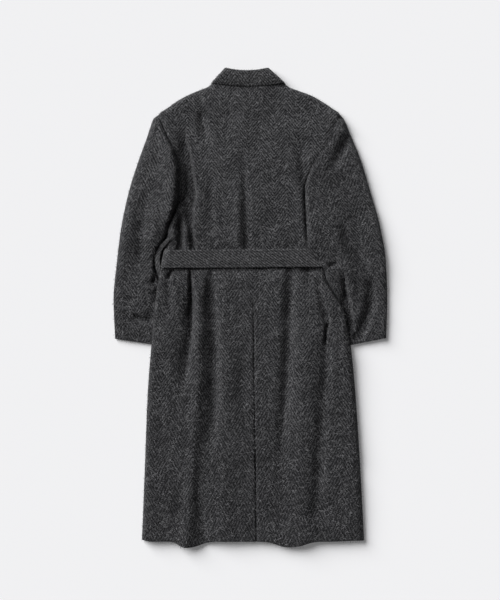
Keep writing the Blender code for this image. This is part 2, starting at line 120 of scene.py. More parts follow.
# Belt and loops
BELT_Y = 0.1290
BELT_TILT = 0.008
BELT_WIDTH = 0.047
BELT_LEVEL = 0.0222
BELT_FREE = 0.0020
BELT_PRESS = 0.0010
BELT_PRESS_SLOPE = 0.35
BELT_PRESS_MARGIN = 0.004
BELT_SHADE = 0.0038
BELT_SHADE_REACH = 0.020
BELT_SHADE_UNEVEN = 0.7
BELT_SHADE_SIZE = 0.055
BELT_CORNER = 0.005
BELT_END = 0.016
BELT_STITCH_IN = 0.0068
BELT_STITCH_DIP = 0.0007
BELT_STITCH_REACH = 0.0014
BELT_WAVE = 0.0009
BELT_WAVE_SIZE = 0.034
BELT_STRAY = 0.0007
BELT_STRAY_SIZE = 0.05
BELT_EDGE_FALL = 0.0022
BELT_EDGE_ROUND = 0.0055
BELT_FACE_FROM = 0.018
BELT_FACE_OVER = 0.006
BELT_SIDES = (-0.23, 0.18)
BELT_FRONT_ENDS = (-0.020, 0.010)
BELT_FRONT_SHARE = 0.9
BELT_GRAIN = 1.4
STITCH_SHOWN_Z = 0.012
STITCH_PROUD = 0.0002
FRONT_LIFT_BELT = 0.0034
FRONT_BELT_HALF = 0.029
FRONT_BELT_RAMP = 0.014
LOOP_WIDTH = 0.0145
LOOP_CROWN = 0.0008
LOOP_LEAN = {"left": math.radians(66.0), "right": math.radians(-20.0)}

# Collar
COLLAR_OPENING = 0.006
COLLAR_TURN = 0.010
COLLAR_FACE_FROM = 0.016
COLLAR_FACE_OVER = 0.006
COLLAR_LEAF_END = 4.5
COLLAR_LEAF_RAMP = 1.5
COLLAR_UNEVEN = 0.4
COLLAR_EDGE_FALL = 0.0008
COLLAR_EDGE_STEP = 0.2
FRONT_LIFT_COLLAR = 0.0032
FRONT_COLLAR_Y = 0.545
FRONT_COLLAR_RAMP = 0.022

# Grids: steps and counts of points, share of a width that edge steps may take, most that a slope widens them
ROOM_SHARE = 0.45
WIDEST_STRETCH = 2.2
ROW_STEP = 0.0034
SLEEVE_ROW_STEP = 0.0024
PLAIN_ROW_STEP = 0.008
TURN_STEPS = (0.0, 0.0004, 0.0010, 0.0019, 0.0030)
EDGE_STEPS = (0.0, 0.0004, 0.0010, 0.0018, 0.0029, 0.0043, 0.0061, 0.0083, 0.0110, 0.0145)
SEAM_STEPS = (0.0, 0.0008, 0.0018, 0.0030, 0.0046, 0.0066)
UNDER_STEPS = (0.0, 0.0008, 0.0020, 0.0042, 0.0090)
BACK_COLUMNS = 88
SLEEVE_COLUMNS = 26
FRONT_COLUMNS = 14
LAP_COLUMNS = 4
UNDER_COLUMNS = 8
UNDERLAP_COLUMNS = 12
COLLAR_FRONT_COLUMNS = 9
COLLAR_TURN_COLUMNS = 15
COLLAR_TOP_COLUMNS = 80
BELT_EDGE_STEPS = (0.0, 0.0004, 0.0012, 0.0025, 0.0040, 0.0054, 0.0061, 0.0068, 0.0075, 0.0082, 0.0100)
BELT_CLIMB_STEPS = (0.0, 0.0004, 0.0012, 0.0024, 0.0042, 0.0066, 0.0096, 0.0130)
BELT_ROWS = 8
BELT_TURN_COLUMNS = 8
BELT_BACK_COLUMNS = 120
BELT_FRONT_COLUMNS = 8
LOOP_ROWS = 48
LOOP_COLUMNS = 7

# Weave: yarn spacing across and along, how it closes toward the collar, yarns in a chevron's column
END_SPACING = 0.00191
PICK_SPACING = 0.00284
PICK_DRAW = 0.20
COLUMN_ENDS = 17
BELT_COLUMN_ENDS = 64
WANDER = 0.0026
SHIVER = 0.0008
END_NOISE = (48.0, 170.0)
PICK_NOISE = (55.0, 190.0)
GRAIN = "grain"
GRAIN_START = {"left": 0.10, "right": 0.42}

# Tones of the weave, as shares of its light colour
END_TONE = 0.05
END_DULL = 0.10
END_WORN = 0.35
# Painted highlight: each light yarn is drawn lighter along its middle than at its sides
END_CROWN_HIGHLIGHT = 0.05
TUFT_LEAST = 0.42
TUFT_MORE = 0.76
STRAND_TONE = 0.4
PICK_TONE = 0.01
PICK_TUFT = 0.05
SPECKLE_TONE = 0.20
CLOUD_TONE = 0.10
BASE_TONE = 0.02
HEM_BLUR = 0.15
# Painted shade toward the hem and painted light toward the collar: the weave's colour is scaled by a ramp
# along the grain between these two places, which also sets where the weave blurs
HEM_PAINTED_SHADE = 0.71
COLLAR_PAINTED_LIGHT = 0.37
PAINTED_FALLOFF_FROM = -0.75
PAINTED_FALLOFF_TO = 0.55

# Relief of the weave
PICK_RELIEF = 0.45
END_RELIEF = 0.6
TUFT_RELIEF = 0.8
SPECKLE_RELIEF = 1.6
BUMP_STRENGTH = 0.80
BUMP_DISTANCE = 0.0011

# Hairs on the weave: angle, size, where their noise starts and ends to show, tone and relief
Hair = namedtuple("Hair", "name turn thick length low high tone relief")
HAIRS = [
    Hair("hair", 0.62, 0.0010, 0.0080, 0.12, 0.26, 0.20, 0.8),
    Hair("stray", -0.85, 0.0010, 0.0070, 0.13, 0.26, 0.18, 0.8),
    Hair("fleck", 0.15, 0.0015, 0.0036, 0.15, 0.25, 0.34, 0.8),
]
DARK_YARN = (0.0035, 0.0035, 0.0042)
TWEED_FINISH = {"Roughness": 0.95, "Specular IOR Level": 0.15, "Sheen Weight": 0.12,
                "Sheen Roughness": 0.45, "Sheen Tint": (0.62, 0.62, 0.64, 1.0)}

# Nap: lowest place of a fibre's root, its lean and arch, range of its turns and sizes
NAP_FLOOR = 0.006
FIBRE_LEAN = 0.28
FIBRE_ARCH = 0.30
FIBRE_TURNS = ((0.02, -0.35, 0.0), (0.42, 0.35, 6.2832))
FIBRE_SIZES = (0.45, 1.3)

# Studio
PHOTO_SCALE = 0.0026
PHOTO_WIDTH = 500
PHOTO_HEIGHT = 600
PHOTO_ORIGIN = (250.9, 308.2)
CAMERA_HEIGHT = 6.00
SENSOR = 36.0
SUN_STRENGTH = 5.0
SUN_ANGLE = math.radians(46.0)
SUN_TURN = math.radians(140.0)
SUN_RISE = math.radians(33.0)
SKY = 0.08
FLOOR_GLOW = 0.13
FLOOR_TONE = 0.790
FLOOR_BLUE = 1.015
FLOOR_REACH = 6.0

# Back and fronts: side edges, height of the back, height of its edges, reach of the turn at them
USUAL_ROLL = 0.012
Section = namedtuple("Section", "name y left right lift edge_left edge_right roll_left roll_right",
                     defaults=(USUAL_ROLL, USUAL_ROLL))
SECTIONS = [
    Section("hem", -0.6053, -0.2831, 0.2941, 0.0200, 0.007, 0.007, 0.014, 0.019),
    Section("lower skirt", -0.4077, -0.2753, 0.2837, 0.0240, 0.007, 0.007, 0.014, 0.019),
    Section("skirt", -0.2127, -0.2675, 0.2707, 0.0270, 0.007, 0.007, 0.014, 0.019),
    Section("cuff level", -0.0957, -0.2584, 0.2590, 0.0270, 0.0085, 0.007, 0.014, 0.016),
    Section("hip", -0.0047, -0.2506, 0.2420, 0.0270, 0.0125, 0.007, 0.012, 0.007),
    Section("high hip", 0.0473, -0.2441, 0.2090, 0.0255, 0.0125, 0.007, 0.012, 0.007),
    Section("below belt", 0.0863, -0.2369, 0.1940, 0.0230, 0.0085, 0.0085, 0.012, 0.010),
    Section("belt low", 0.1045, -0.2290, 0.1927, 0.0210, 0.0085, 0.0085),
    Section("belt", 0.1253, -0.2250, 0.1758, 0.0210, 0.0085, 0.0085),
    Section("belt high", 0.1513, -0.2195, 0.1563, 0.0210, 0.0085, 0.0085),
    Section("above belt", 0.1773, -0.2175, 0.1480, 0.0235, 0.0085, 0.0085),
    Section("waist", 0.2085, -0.2140, 0.1440, 0.0255, 0.007, 0.007),
    Section("low chest", 0.2501, -0.1985, 0.1415, 0.0260, 0.0130, 0.007),
    Section("chest", 0.3073, -0.1800, 0.1400, 0.0260, 0.0195, 0.008),
    Section("underarm", 0.3645, -0.1810, 0.1570, 0.0260, 0.0195, 0.0175),
    Section("low armhole", 0.4009, -0.1960, 0.1800, 0.0250, 0.0170, 0.0235),
    Section("armhole", 0.4373, -0.2129, 0.2031, 0.0240, 0.0130, 0.0230),
    Section("high armhole", 0.4737, -0.2285, 0.2187, 0.0225, 0.0130, 0.0210),
    Section("shoulder point", 0.5023, -0.2389, 0.2309, 0.0200, 0.008, 0.008),
    Section("shoulder", 0.5205, -0.2155, 0.2083, 0.0205, 0.007, 0.007),
    Section("mid shoulder", 0.5361, -0.1940, 0.1849, 0.0205, 0.007, 0.007),
    Section("near neck", 0.5517, -0.1661, 0.1576, 0.0205, 0.007, 0.007),
    Section("neck slope", 0.5673, -0.1297, 0.1160, 0.0205, 0.0084, 0.0084),
    Section("neck point", 0.5777, -0.1050, 0.0913, 0.0205, 0.0084, 0.0084),
    Section("collar tip", 0.5825, -0.1030, 0.0900, 0.0205, 0.0084, 0.0084),
    Section("under collar", 0.5868, -0.0960, 0.0830, 0.0205, 0.0084, 0.0084),
    Section("neck seam", 0.5959, -0.0738, 0.0614, 0.0205, 0.0084, 0.0084),
]

SeamPoint = namedtuple("SeamPoint", "name y x")
BACK_SEAM = [
    SeamPoint("hem", -0.6053, 0.0146),
    SeamPoint("skirt", -0.2387, 0.0094),
    SeamPoint("vent top", 0.0473, 0.0055),
    SeamPoint("belt", 0.1305, 0.0003),
    SeamPoint("chest", 0.3853, -0.0049),
    SeamPoint("neck", 0.5959, -0.0075),
]

# Vent: how far its two edges stand apart
VentPoint = namedtuple("VentPoint", "name y gap")
VENT = [
    VentPoint("hem", -0.6053, 0.0022),
    VentPoint("low", -0.4600, 0.0018),
    VentPoint("open place", -0.3980, 0.0056),
    VentPoint("middle", -0.3400, 0.0016),
    VentPoint("high", -0.0500, 0.0013),
    VentPoint("top", 0.0473, SEAM_GAP),
    VentPoint("neck", 0.5959, SEAM_GAP),
]

# Folds: path from (x0, y0) to (x1, y1) with a sideways bow, widths each side, rise, fade at each end
Fold = namedtuple("Fold", "name x0 y0 x1 y1 bow left right rise fade0 fade1")
BACK_FOLDS = [
    Fold("underarm hollow", -0.1765, 0.465, -0.1445, 0.255, 0.006, 0.034, 0.0042, -0.026, 0.40, 0.22),
    Fold("waist hollow", -0.1545, 0.330, -0.1510, 0.185, 0.0, 0.030, 0.0040, -0.020, 0.3, 0.35),
    Fold("outer gather", -0.1820, 0.255, -0.1800, 0.135, 0.0, 0.0100, 0.0065, -0.020, 0.35, 0.12),
    Fold("inner gather", -0.1575, 0.285, -0.1425, 0.135, -0.003, 0.0090, 0.0026, -0.026, 0.25, 0.12),
    Fold("shoulder crease", -0.1340, 0.525, -0.1140, 0.430, 0.0, 0.012, 0.010, -0.009, 0.35, 0.4),
    Fold("armhole crease", -0.1740, 0.490, -0.1700, 0.400, 0.0, 0.012, 0.014, -0.0045, 0.4, 0.4),
    Fold("centre crease", -0.0180, 0.470, -0.0095, 0.105, 0.0, 0.011, 0.010, -0.0080, 0.75, 0.1),
    Fold("centre swell", -0.0380, 0.380, -0.0310, 0.105, 0.0, 0.016, 0.013, 0.005, 0.45, 0.18),
    Fold("blade trough", -0.1050, 0.380, -0.1060, 0.170, 0.0, 0.016, 0.014, -0.006, 0.35, 0.3),
    Fold("right crease", 0.1200, 0.480, 0.1450, 0.290, 0.0, 0.015, 0.020, -0.009, 0.45, 0.2),
    Fold("left slit", -0.1560, 0.112, -0.1540, -0.085, 0.002, 0.0065, 0.0022, -0.019, 0.04, 0.22),
    Fold("left outer valley", -0.1530, 0.060, -0.1805, -0.240, 0.008, 0.020, 0.008, -0.0160, 0.25, 0.4),
    Fold("left ridge", -0.1280, 0.150, -0.1680, -0.620, 0.008, 0.015, 0.014, 0.007, 0.06, 0.0),
    Fold("left inner valley", -0.1080, 0.150, -0.1060, -0.420, 0.013, 0.019, 0.013, -0.0165, 0.2, 0.35),
    Fold("left hem valley", -0.1380, -0.400, -0.1200, -0.620, 0.0, 0.016, 0.012, -0.006, 0.5, 0.0),
    Fold("vent trough", -0.0205, -0.050, -0.0205, -0.360, 0.0, 0.016, 0.016, -0.004, 0.4, 0.4),
    Fold("skirt swell", -0.0673, 0.050, -0.0650, -0.620, 0.0, 0.028, 0.028, 0.004, 0.3, 0.0),
    Fold("right inner valley", 0.1040, 0.150, 0.0700, -0.480, 0.006, 0.015, 0.014, -0.0120, 0.08, 0.4),
    Fold("right ridge", 0.1430, 0.020, 0.1350, -0.620, 0.0, 0.030, 0.026, 0.006, 0.35, 0.0),
    Fold("right outer valley", 0.2040, -0.045, 0.1680, -0.590, -0.0035, 0.015, 0.014, -0.0080, 0.1, 0.3),
    Fold("side lead", 0.1700, 0.080, 0.2050, -0.060, 0.0, 0.010, 0.007, -0.007, 0.3, 0.3),
    Fold("side tuck", 0.2005, -0.030, 0.1925, -0.112, 0.0, 0.0055, 0.0034, -0.011, 0.25, 0.45),
    Fold("side hollow", -0.2180, 0.110, -0.2060, -0.030, 0.0, 0.010, 0.010, -0.006, 0.1, 0.5),
    Fold("loop hollow", -0.2180, 0.072, -0.1960, 0.107, 0.0, 0.006, 0.006, -0.013, 0.3, 0.1),
    Fold("belt hollow", 0.1220, 0.098, 0.1740, 0.098, 0.0, 0.007, 0.006, -0.008, 0.25, 0.2),
    Fold("belt pleat", 0.1440, 0.150, 0.1580, 0.010, 0.0, 0.010, 0.010, -0.005, 0.3, 0.5),
]

# Hem: how far each fold carries the hem edge down
HemDrop = namedtuple("HemDrop", "name x left right drop")
HEM_DROPS = [
    HemDrop("left ridge", -0.1680, 0.024, 0.046, 0.0155),
    HemDrop("right ridge", 0.1010, 0.042, 0.046, 0.0145),
    HemDrop("left corner", -0.2900, 0.020, 0.020, -0.0050),
    HemDrop("right corner", 0.2950, 0.060, 0.020, -0.0026),
]
HEM_REACH = 0.080

# Sleeves: inner and outer edge of each section, height near each edge
Sleeve = namedtuple("Sleeve", "name y_inner y_outer x_outer lift_outer lift_inner")
LEFT_SLEEVE = [
    Sleeve("cuff", -0.0935, -0.0795, -0.3528, 0.0085, 0.0085),
    Sleeve("wrist", 0.0213, 0.0239, -0.3568, 0.0200, 0.0130),
    Sleeve("forearm", 0.1201, 0.1201, -0.3481, 0.0210, 0.0170),
    Sleeve("elbow", 0.2085, 0.2085, -0.3370, 0.0220, 0.0230),
    Sleeve("upper arm", 0.3073, 0.3073, -0.3156, 0.0230, 0.0270),
    Sleeve("low cap", 0.3853, 0.3814, -0.2922, 0.0230, 0.0260),
    Sleeve("cap", 0.4581, 0.4503, -0.2675, 0.0220, 0.0240),
    Sleeve("cap top", 0.4870, 0.4765, -0.2590, 0.0200, 0.0205),
    Sleeve("shoulder point", 0.5023, 0.4919, -0.2532, 0.0085, 0.0085),
]
RIGHT_SLEEVE = [
    Sleeve("cuff", -0.0957, -0.0775, 0.3513, 0.0150, 0.0150),
    Sleeve("wrist", 0.0213, 0.0239, 0.3540, 0.0170, 0.0200),
    Sleeve("forearm", 0.1201, 0.1201, 0.3507, 0.0195, 0.0290),
    Sleeve("elbow", 0.2085, 0.2085, 0.3362, 0.0205, 0.0310),
    Sleeve("upper arm", 0.3073, 0.3073, 0.3089, 0.0180, 0.0310),
    Sleeve("low cap", 0.3853, 0.3853, 0.2850, 0.0180, 0.0285),
    Sleeve("cap", 0.4581, 0.4555, 0.2564, 0.0220, 0.0240),
    Sleeve("cap top", 0.4870, 0.4790, 0.2470, 0.0200, 0.0205),
    Sleeve("shoulder point", 0.5023, 0.4932, 0.2395, 0.0085, 0.0085),
]
# Where each sleeve meets the body: space at its upper side, rise of that edge, space at its under side
Meet = namedtuple("Meet", "name y left right rise_left rise_right under")
SLEEVE_MEETS = [
    Meet("cuff", -0.0957, 0.0008, 0.0008, 0.0008, 0.0008, -0.0012),
    Meet("high hip", 0.0473, 0.0010, 0.0006, 0.0008, 0.0008, -0.0012),
    Meet("below belt", 0.0863, 0.0110, -0.0012, 0.0008, 0.0030, -0.0012),
    Meet("under belt", 0.0990, 0.0200, -0.0038, 0.0008, 0.0175, -0.0008),
    Meet("belt low", 0.1045, 0.0235, -0.0045, 0.0008, 0.0195, 0.0062),
    Meet("belt", 0.1253, 0.0275, -0.0045, 0.0008, 0.0195, 0.0062),
    Meet("belt high", 0.1513, 0.0275, -0.0045, 0.0008, 0.0195, 0.0062),
    Meet("over belt", 0.1560, 0.0245, -0.0043, 0.0008, 0.0190, -0.0008),
    Meet("above belt", 0.1773, 0.0095, -0.0015, 0.0008, 0.0110, -0.0012),
    Meet("waist", 0.2085, 0.0012, 0.0006, 0.0008, 0.0020, -0.0012),
    Meet("shoulder", 0.5023, 0.0004, 0.0004, 0.0008, 0.0008, -0.0012),
]
LEFT_SLEEVE_FOLDS = [
    Fold("inner ridge", -0.2200, 0.470, -0.2340, 0.182, 0.0270, 0.024, 0.013, 0.016, 0.28, 0.30),
    Fold("upper trough", -0.2660, 0.315, -0.2840, 0.235, 0.0, 0.012, 0.012, -0.004, 0.4, 0.4),
    Fold("elbow trough", -0.2830, 0.255, -0.2920, 0.110, 0.0, 0.014, 0.014, -0.007, 0.35, 0.3),
    Fold("forearm ridge", -0.2420, 0.300, -0.2560, 0.140, 0.0, 0.018, 0.012, 0.006, 0.3, 0.3),
    Fold("loop dent", -0.2455, 0.152, -0.2450, 0.068, 0.0, 0.006, 0.005, -0.011, 0.3, 0.2),
    Fold("elbow dent", -0.2620, 0.076, -0.2380, 0.066, 0.0, 0.009, 0.006, -0.012, 0.5, 0.05),
    Fold("elbow ridge", -0.2820, 0.054, -0.2450, 0.046, 0.0, 0.008, 0.008, 0.005, 0.4, 0.2),
    Fold("cuff crease", -0.3080, -0.017, -0.2520, -0.030, -0.003, 0.009, 0.0032, -0.011, 0.2, 0.05),
    Fold("cuff ridge", -0.3180, -0.002, -0.2620, -0.012, 0.0, 0.010, 0.010, 0.003, 0.3, 0.2),
]
RIGHT_SLEEVE_FOLDS = [
    Fold("cap dent", 0.2610, 0.460, 0.1950, 0.333, 0.0, 0.014, 0.018, -0.010, 0.15, 0.4),
    Fold("elbow valley", 0.2180, 0.224, 0.3130, 0.078, 0.006, 0.012, 0.010, -0.008, 0.25, 0.25),
    Fold("cuff valley", 0.3100, 0.098, 0.2690, -0.092, 0.020, 0.014, 0.011, -0.012, 0.25, 0.1),
    Fold("sleeve ridge", 0.1700, 0.262, 0.2760, 0.000, 0.018, 0.016, 0.012, 0.007, 0.3, 0.3),
    Fold("elbow dent", 0.1980, 0.107, 0.2270, 0.119, 0.0, 0.006, 0.006, -0.009, 0.25, 0.3),
    Fold("inner tuck", 0.2399, 0.0990, 0.2580, -0.0380, 0.0, 0.007, 0.0028, -0.018, 0.2, 0.2),
    Fold("wrist hollow", 0.2480, 0.050, 0.2680, -0.062, 0.0, 0.022, 0.0026, -0.022, 0.4, 0.15),
]

# Belt loops from the lower end to the upper: place of the strip's middle and its height
LoopPoint = namedtuple("LoopPoint", "name y x z")
LEFT_LOOP = [
    LoopPoint("lower end", 0.0790, -0.2290, 0.0168),
    LoopPoint("lower leg", 0.0945, -0.2372, 0.0150),
    LoopPoint("lower bow", 0.1123, -0.2418, 0.0130),
    LoopPoint("bow", 0.1305, -0.2430, 0.0125),
    LoopPoint("upper bow", 0.1487, -0.2385, 0.0130),
    LoopPoint("upper leg", 0.1643, -0.2275, 0.0185),
    LoopPoint("upper end", 0.1800, -0.2115, 0.0262),
]
RIGHT_LOOP = [
    LoopPoint("lower end", 0.0920, 0.1945, 0.0105),
    LoopPoint("bow", 0.1290, 0.1815, 0.0105),
    LoopPoint("upper end", 0.1660, 0.1530, 0.0105),
]

# Collar rows from the leaf's edge, over the fold, to the neck seam
CollarRow = namedtuple("CollarRow", "name step y_middle y_side centre half low high")
COLLAR_ROWS = [
    CollarRow("leaf edge", 0, 0.5757, 0.5845, -0.0075, 0.0960, 0.0000, 0.0240),
    CollarRow("leaf low", 1, 0.5890, 0.5955, -0.0084, 0.0850, 0.0000, 0.0275),
    CollarRow("leaf high", 2, 0.6040, 0.6090, -0.0095, 0.0712, 0.0000, 0.0295),
    CollarRow("leaf top", 3, 0.6120, 0.6185, -0.0105, 0.0615, 0.0001, 0.0300),
    CollarRow("fold outside", 4, 0.6156, 0.6224, -0.0108, 0.0574, 0.0010, 0.0290),
    CollarRow("fold crest", 5, 0.6165, 0.6234, -0.0108, 0.0556, 0.0029, 0.0268),
    CollarRow("fold inside", 6, 0.6156, 0.6224, -0.0108, 0.0542, 0.0048, 0.0245),
    CollarRow("stand top", 7, 0.6120, 0.6180, -0.0103, 0.0560, 0.0057, 0.0230),
    CollarRow("neck seam", 8, 0.5966, 0.5966, -0.0065, 0.0690, 0.0057, 0.0182),
]
CollarRun = namedtuple("CollarRun", "name start end rows")
COLLAR_RUNS = [
    CollarRun("edge", 0.0, COLLAR_EDGE_STEP, 6),
    CollarRun("leaf", COLLAR_EDGE_STEP, 3.0, 26),
    CollarRun("fold", 3.0, 6.0, 22),
    CollarRun("stand", 6.0, 8.0, 10),
]
COLLAR_FOLDS = [
    Fold("leaf kink", 0.0160, 0.607, 0.0175, 0.579, 0.0, 0.004, 0.005, -0.0016, 0.3, 0.3),
    Fold("leaf swell", -0.0400, 0.612, -0.0480, 0.579, 0.0, 0.018, 0.020, 0.0010, 0.3, 0.3),
]


def curve_through(stations, values):
    """Smooth curve through a table's column that never overshoots its rows."""
    order = np.argsort(stations)
    s = np.asarray(stations, float)[order]
    v = np.asarray(values, float)[order]
    h = np.diff(s)
    slope = np.diff(v) / h
    tangent = np.zeros_like(v)
    tangent[0] = slope[0]
    tangent[-1] = slope[-1]
    for i in range(1, len(v) - 1):
        if slope[i - 1] * slope[i] > 0:
            before = 2 * h[i] + h[i - 1]
            after = h[i] + 2 * h[i - 1]
            tangent[i] = (before + after) / (before / slope[i - 1] + after / slope[i])

    def at(place):
        p = np.clip(place, s[0], s[-1])
        i = np.clip(np.searchsorted(s, p) - 1, 0, len(h) - 1)
        t = (p - s[i]) / h[i]
        return (v[i] * (1 + 2 * t) * (1 - t) ** 2 + h[i] * tangent[i] * t * (1 - t) ** 2
                + v[i + 1] * t * t * (3 - 2 * t) + h[i] * tangent[i + 1] * t * t * (t - 1))

    return at


def columns_of(table, key):
    """One curve per named column of a table, along the column called key."""
    stations = [getattr(row, key) for row in table]
    names = [name for name in table[0]._fields if name not in ("name", key)]
    return {name: curve_through(stations, [getattr(row, name) for row in table]) for name in names}


BODY = columns_of(SECTIONS, "y")
SEAM = columns_of(BACK_SEAM, "y")["x"]
VENT_GAP = columns_of(VENT, "y")["gap"]
MEET = columns_of(SLEEVE_MEETS, "y")


def ease(t):
    t = np.clip(t, 0.0, 1.0)
    return t * t * (3 - 2 * t)


def rounded(distance, reach):
    """Quarter round that starts upright at an edge and levels off at its reach."""
    t = np.clip(distance / reach, 0.0, 1.0)
    return np.sqrt(1 - (1 - t) ** 2)


def soft_max(a, b):
    """Larger of two heights, with a rounded corner where they cross."""
    return (a + b + np.sqrt((a - b) ** 2 + SOFT_CORNER ** 2)) / 2


def soft_min(a, b):
    """Smaller of two heights, with a rounded corner where they cross."""
    return (a + b - np.sqrt((a - b) ** 2 + SOFT_CORNER ** 2)) / 2


def drift(x, y, size, seed):
    """Uneven swelling between -1 and 1, in lumps of the given size."""
    count = 97
    lattice = np.random.default_rng(seed).uniform(-1.0, 1.0, (count, count))
    u = x / size + count / 2
    v = y / size + count / 2
    i = np.floor(u).astype(int)
    j = np.floor(v).astype(int)
    s = ease(u - i)
    t = ease(v - j)
    low = lattice[i % count, j % count] * (1 - s) + lattice[(i + 1) % count, j % count] * s
    high = lattice[i % count, (j + 1) % count] * (1 - s) + lattice[(i + 1) % count, (j + 1) % count] * s
    return low * (1 - t) + high * t


def fold_height(folds, x, y):
    """Sum of the ridges and valleys of some folds at each place."""
    total = np.zeros(np.broadcast(x, y).shape)
    for fold in folds:
        dx = fold.x1 - fold.x0
        dy = fold.y1 - fold.y0
        length = math.hypot(dx, dy)
        along = ((x - fold.x0) * dx + (y - fold.y0) * dy) / length ** 2
        inside = np.clip(along, 0.0, 1.0)
        across = ((y - fold.y0) * dx - (x - fold.x0) * dy) / length
        across = across - fold.bow * 4 * inside * (1 - inside)
        width = np.where(across < 0, fold.left, fold.right)
        start = ease(along / fold.fade0) if fold.fade0 else 1.0
        end = ease((1 - along) / fold.fade1) if fold.fade1 else 1.0
        total = total + fold.rise * start * end * np.exp(-(across / width) ** 2)
    return total


def roll(distance, reach, edge):
    """Share of the full height beside a seam: a round turn at a low seam, a soft dip at a high one."""
    flush = ease((edge - FLUSH_FROM) / FLUSH_OVER)
    return (1 - flush) * rounded(distance, reach) + flush * ease(distance / (FLUSH_REACH * reach))


def edge_slope(y, side):
    step = 0.002
    return (BODY[side](y + step) - BODY[side](y - step)) / (2 * step)


def side_distance(x, y, side):
    """Distance from a side edge of the body, square to that edge."""
    across = x - BODY[side](y) if side == "left" else BODY[side](y) - x
    return across / np.sqrt(1 + edge_slope(y, side) ** 2)


def edge_stretch(y, side):
    """Edge steps are wider across where the outline slopes."""
    return np.minimum(np.sqrt(1 + edge_slope(y, side) ** 2), WIDEST_STRETCH)


def belt_middle(x):
    return BELT_Y + BELT_TILT * x


def uneven(x, y, seed):
    """Small unevenness of laid cloth."""
    return SWELL * drift(x, y, SWELL_SIZE, seed) + RIPPLE * drift(x, y, RIPPLE_SIZE, seed + 1)


def back_height(x, y):
    """Height of the outer face of the back."""
    h = BODY["lift"](y) + fold_height(BACK_FOLDS, x, y) + uneven(x, y, BACK_SEED)
    left = side_distance(x, y, "left")
    right = side_distance(x, y, "right")
    inner = ease((np.minimum(left, right) - INNER_FROM) / INNER_OVER)
    h = soft_max(h, EDGE_FLOOR + (VALLEY_FLOOR + front_lift(y) - EDGE_FLOOR) * inner)
    outside = np.maximum(np.abs(y - belt_middle(x)) - BELT_WIDTH / 2 - BELT_PRESS_MARGIN, 0.0)
    patchy = 1 + BELT_SHADE_UNEVEN * drift(x, 0 * y, BELT_SHADE_SIZE, BELT_SHADE_SEED)
    below = ease((belt_middle(x) - y) / BELT_SHADE_REACH) * patchy
    h = soft_min(h, BELT_LEVEL - BELT_PRESS - BELT_SHADE * below + BELT_PRESS_SLOPE * outside)
    dip = SEAM_DIP + (VENT_DIP - SEAM_DIP) * ease((VENT_TOP - y) / VENT_DIP_FADE)
    h = h - dip * np.exp(-((x - SEAM(y)) / SEAM_DIP_REACH) ** 2)
    hem_line = y - SECTIONS[0].y - HEM_STITCH_UP
    h = h - HEM_STITCH_DIP * np.exp(-(hem_line / HEM_STITCH_REACH) ** 2)
    h = h - EDGE_FALL * (1 - rounded(y - SECTIONS[0].y, EDGE_ROUND))
    for side, distance in (("left", left), ("right", right)):
        edge = BODY["edge_" + side](y)
        h = edge + (h - edge) * roll(distance, BODY["roll_" + side](y), edge)
    return h


def front_lift(y):
    """How far the fronts ride up over the collar's and the belt's front stretches."""
    over_belt = ease(1 - (np.abs(y - BELT_Y) - FRONT_BELT_HALF) / FRONT_BELT_RAMP)
    over_collar = ease((y - FRONT_COLLAR_Y) / FRONT_COLLAR_RAMP)
    return FRONT_LIFT_BELT * over_belt + FRONT_LIFT_COLLAR * over_collar


def closed(y):
    """One where the sides are sewn shut, nought where they open into the armholes."""
    return 1 - ease((y - ARMHOLE_LOW) / ARMHOLE_LOW_RAMP) * ease((ARMHOLE_TOP - y) / ARMHOLE_TOP_RAMP)


def hem_shift(x, y):
    """How far the folds and corners carry the cloth down or up near the hem."""
    fade = ease(1 - (y - SECTIONS[0].y) / HEM_REACH)
    shift = 0.0
    for drop in HEM_DROPS:
        width = np.where(x < drop.x, drop.left, drop.right)
        shift = shift - drop.drop * np.exp(-np.abs((x - drop.x) / width) ** HEM_DROP_POWER)
    return shift * fade


def rows_between(low, high, step):
    """Even rows, with a few close ones at the low end where the cloth turns under."""
    start = low + np.array(TURN_STEPS)
    count = max(int(round((high - start[-1]) / step)), 2)
    return np.concatenate([start[:-1], np.linspace(start[-1], high, count + 1)])


def spread(start, end, first_steps, last_steps, middle, stretch=1.0):
    """Places from start to end on every row: given steps at each end, even ones between."""
    start = np.asarray(start, float)[:, None]
    end = np.asarray(end, float)[:, None]
    stretch = np.broadcast_to(stretch, start.shape[:1])[:, None]
    first = np.array(first_steps) * stretch
    last = np.array(last_steps[::-1]) * stretch
    longest = np.maximum(np.maximum(first[:, -1:], last[:, :1]), 1e-9)
    room = np.minimum(1.0, ROOM_SHARE * (end - start) / longest)
    head = start + first * room
    tail = end - last * room
    share = np.linspace(0.0, 1.0, middle + 2)[1:-1]
    between = head[:, -1:] + (tail[:, :1] - head[:, -1:]) * share
    return np.concatenate([head, between, tail], axis=1)


def run_along(points, axis):
    """Distance run along the rows (axis 1) or down the columns (axis 0) of a grid of points."""
    step = np.linalg.norm(np.diff(points, axis=axis), axis=2)
    edge = np.zeros_like(np.take(step, [0], axis=axis))
    return np.concatenate([edge, np.cumsum(step, axis=axis)], axis=axis)


def down(y, columns):
    return np.repeat(np.asarray(y)[:, None], columns, axis=1)


def back_points(side):
    """Outer face of one half of the back, between its side edge and the back seam."""
    y = rows_between(SECTIONS[0].y, SECTIONS[-1].y, ROW_STEP)
    stretch = edge_stretch(y, side)
    edge = BODY[side](y)
    half_gap = VENT_GAP(y) / 2
    if side == "left":
        x = spread(edge, SEAM(y) - half_gap, EDGE_STEPS, SEAM_STEPS, BACK_COLUMNS, stretch)
    else:
        x = spread(SEAM(y) + half_gap, edge, SEAM_STEPS, EDGE_STEPS, BACK_COLUMNS, stretch)
    y = down(y, x.shape[1])
    points = np.stack([x, y + hem_shift(x, y), back_height(x, y)], axis=2)
    across = run_along(points, 1)
    if side == "left":
        across = across - across[:, -1:]
    return points, np.stack([across, y], axis=2)


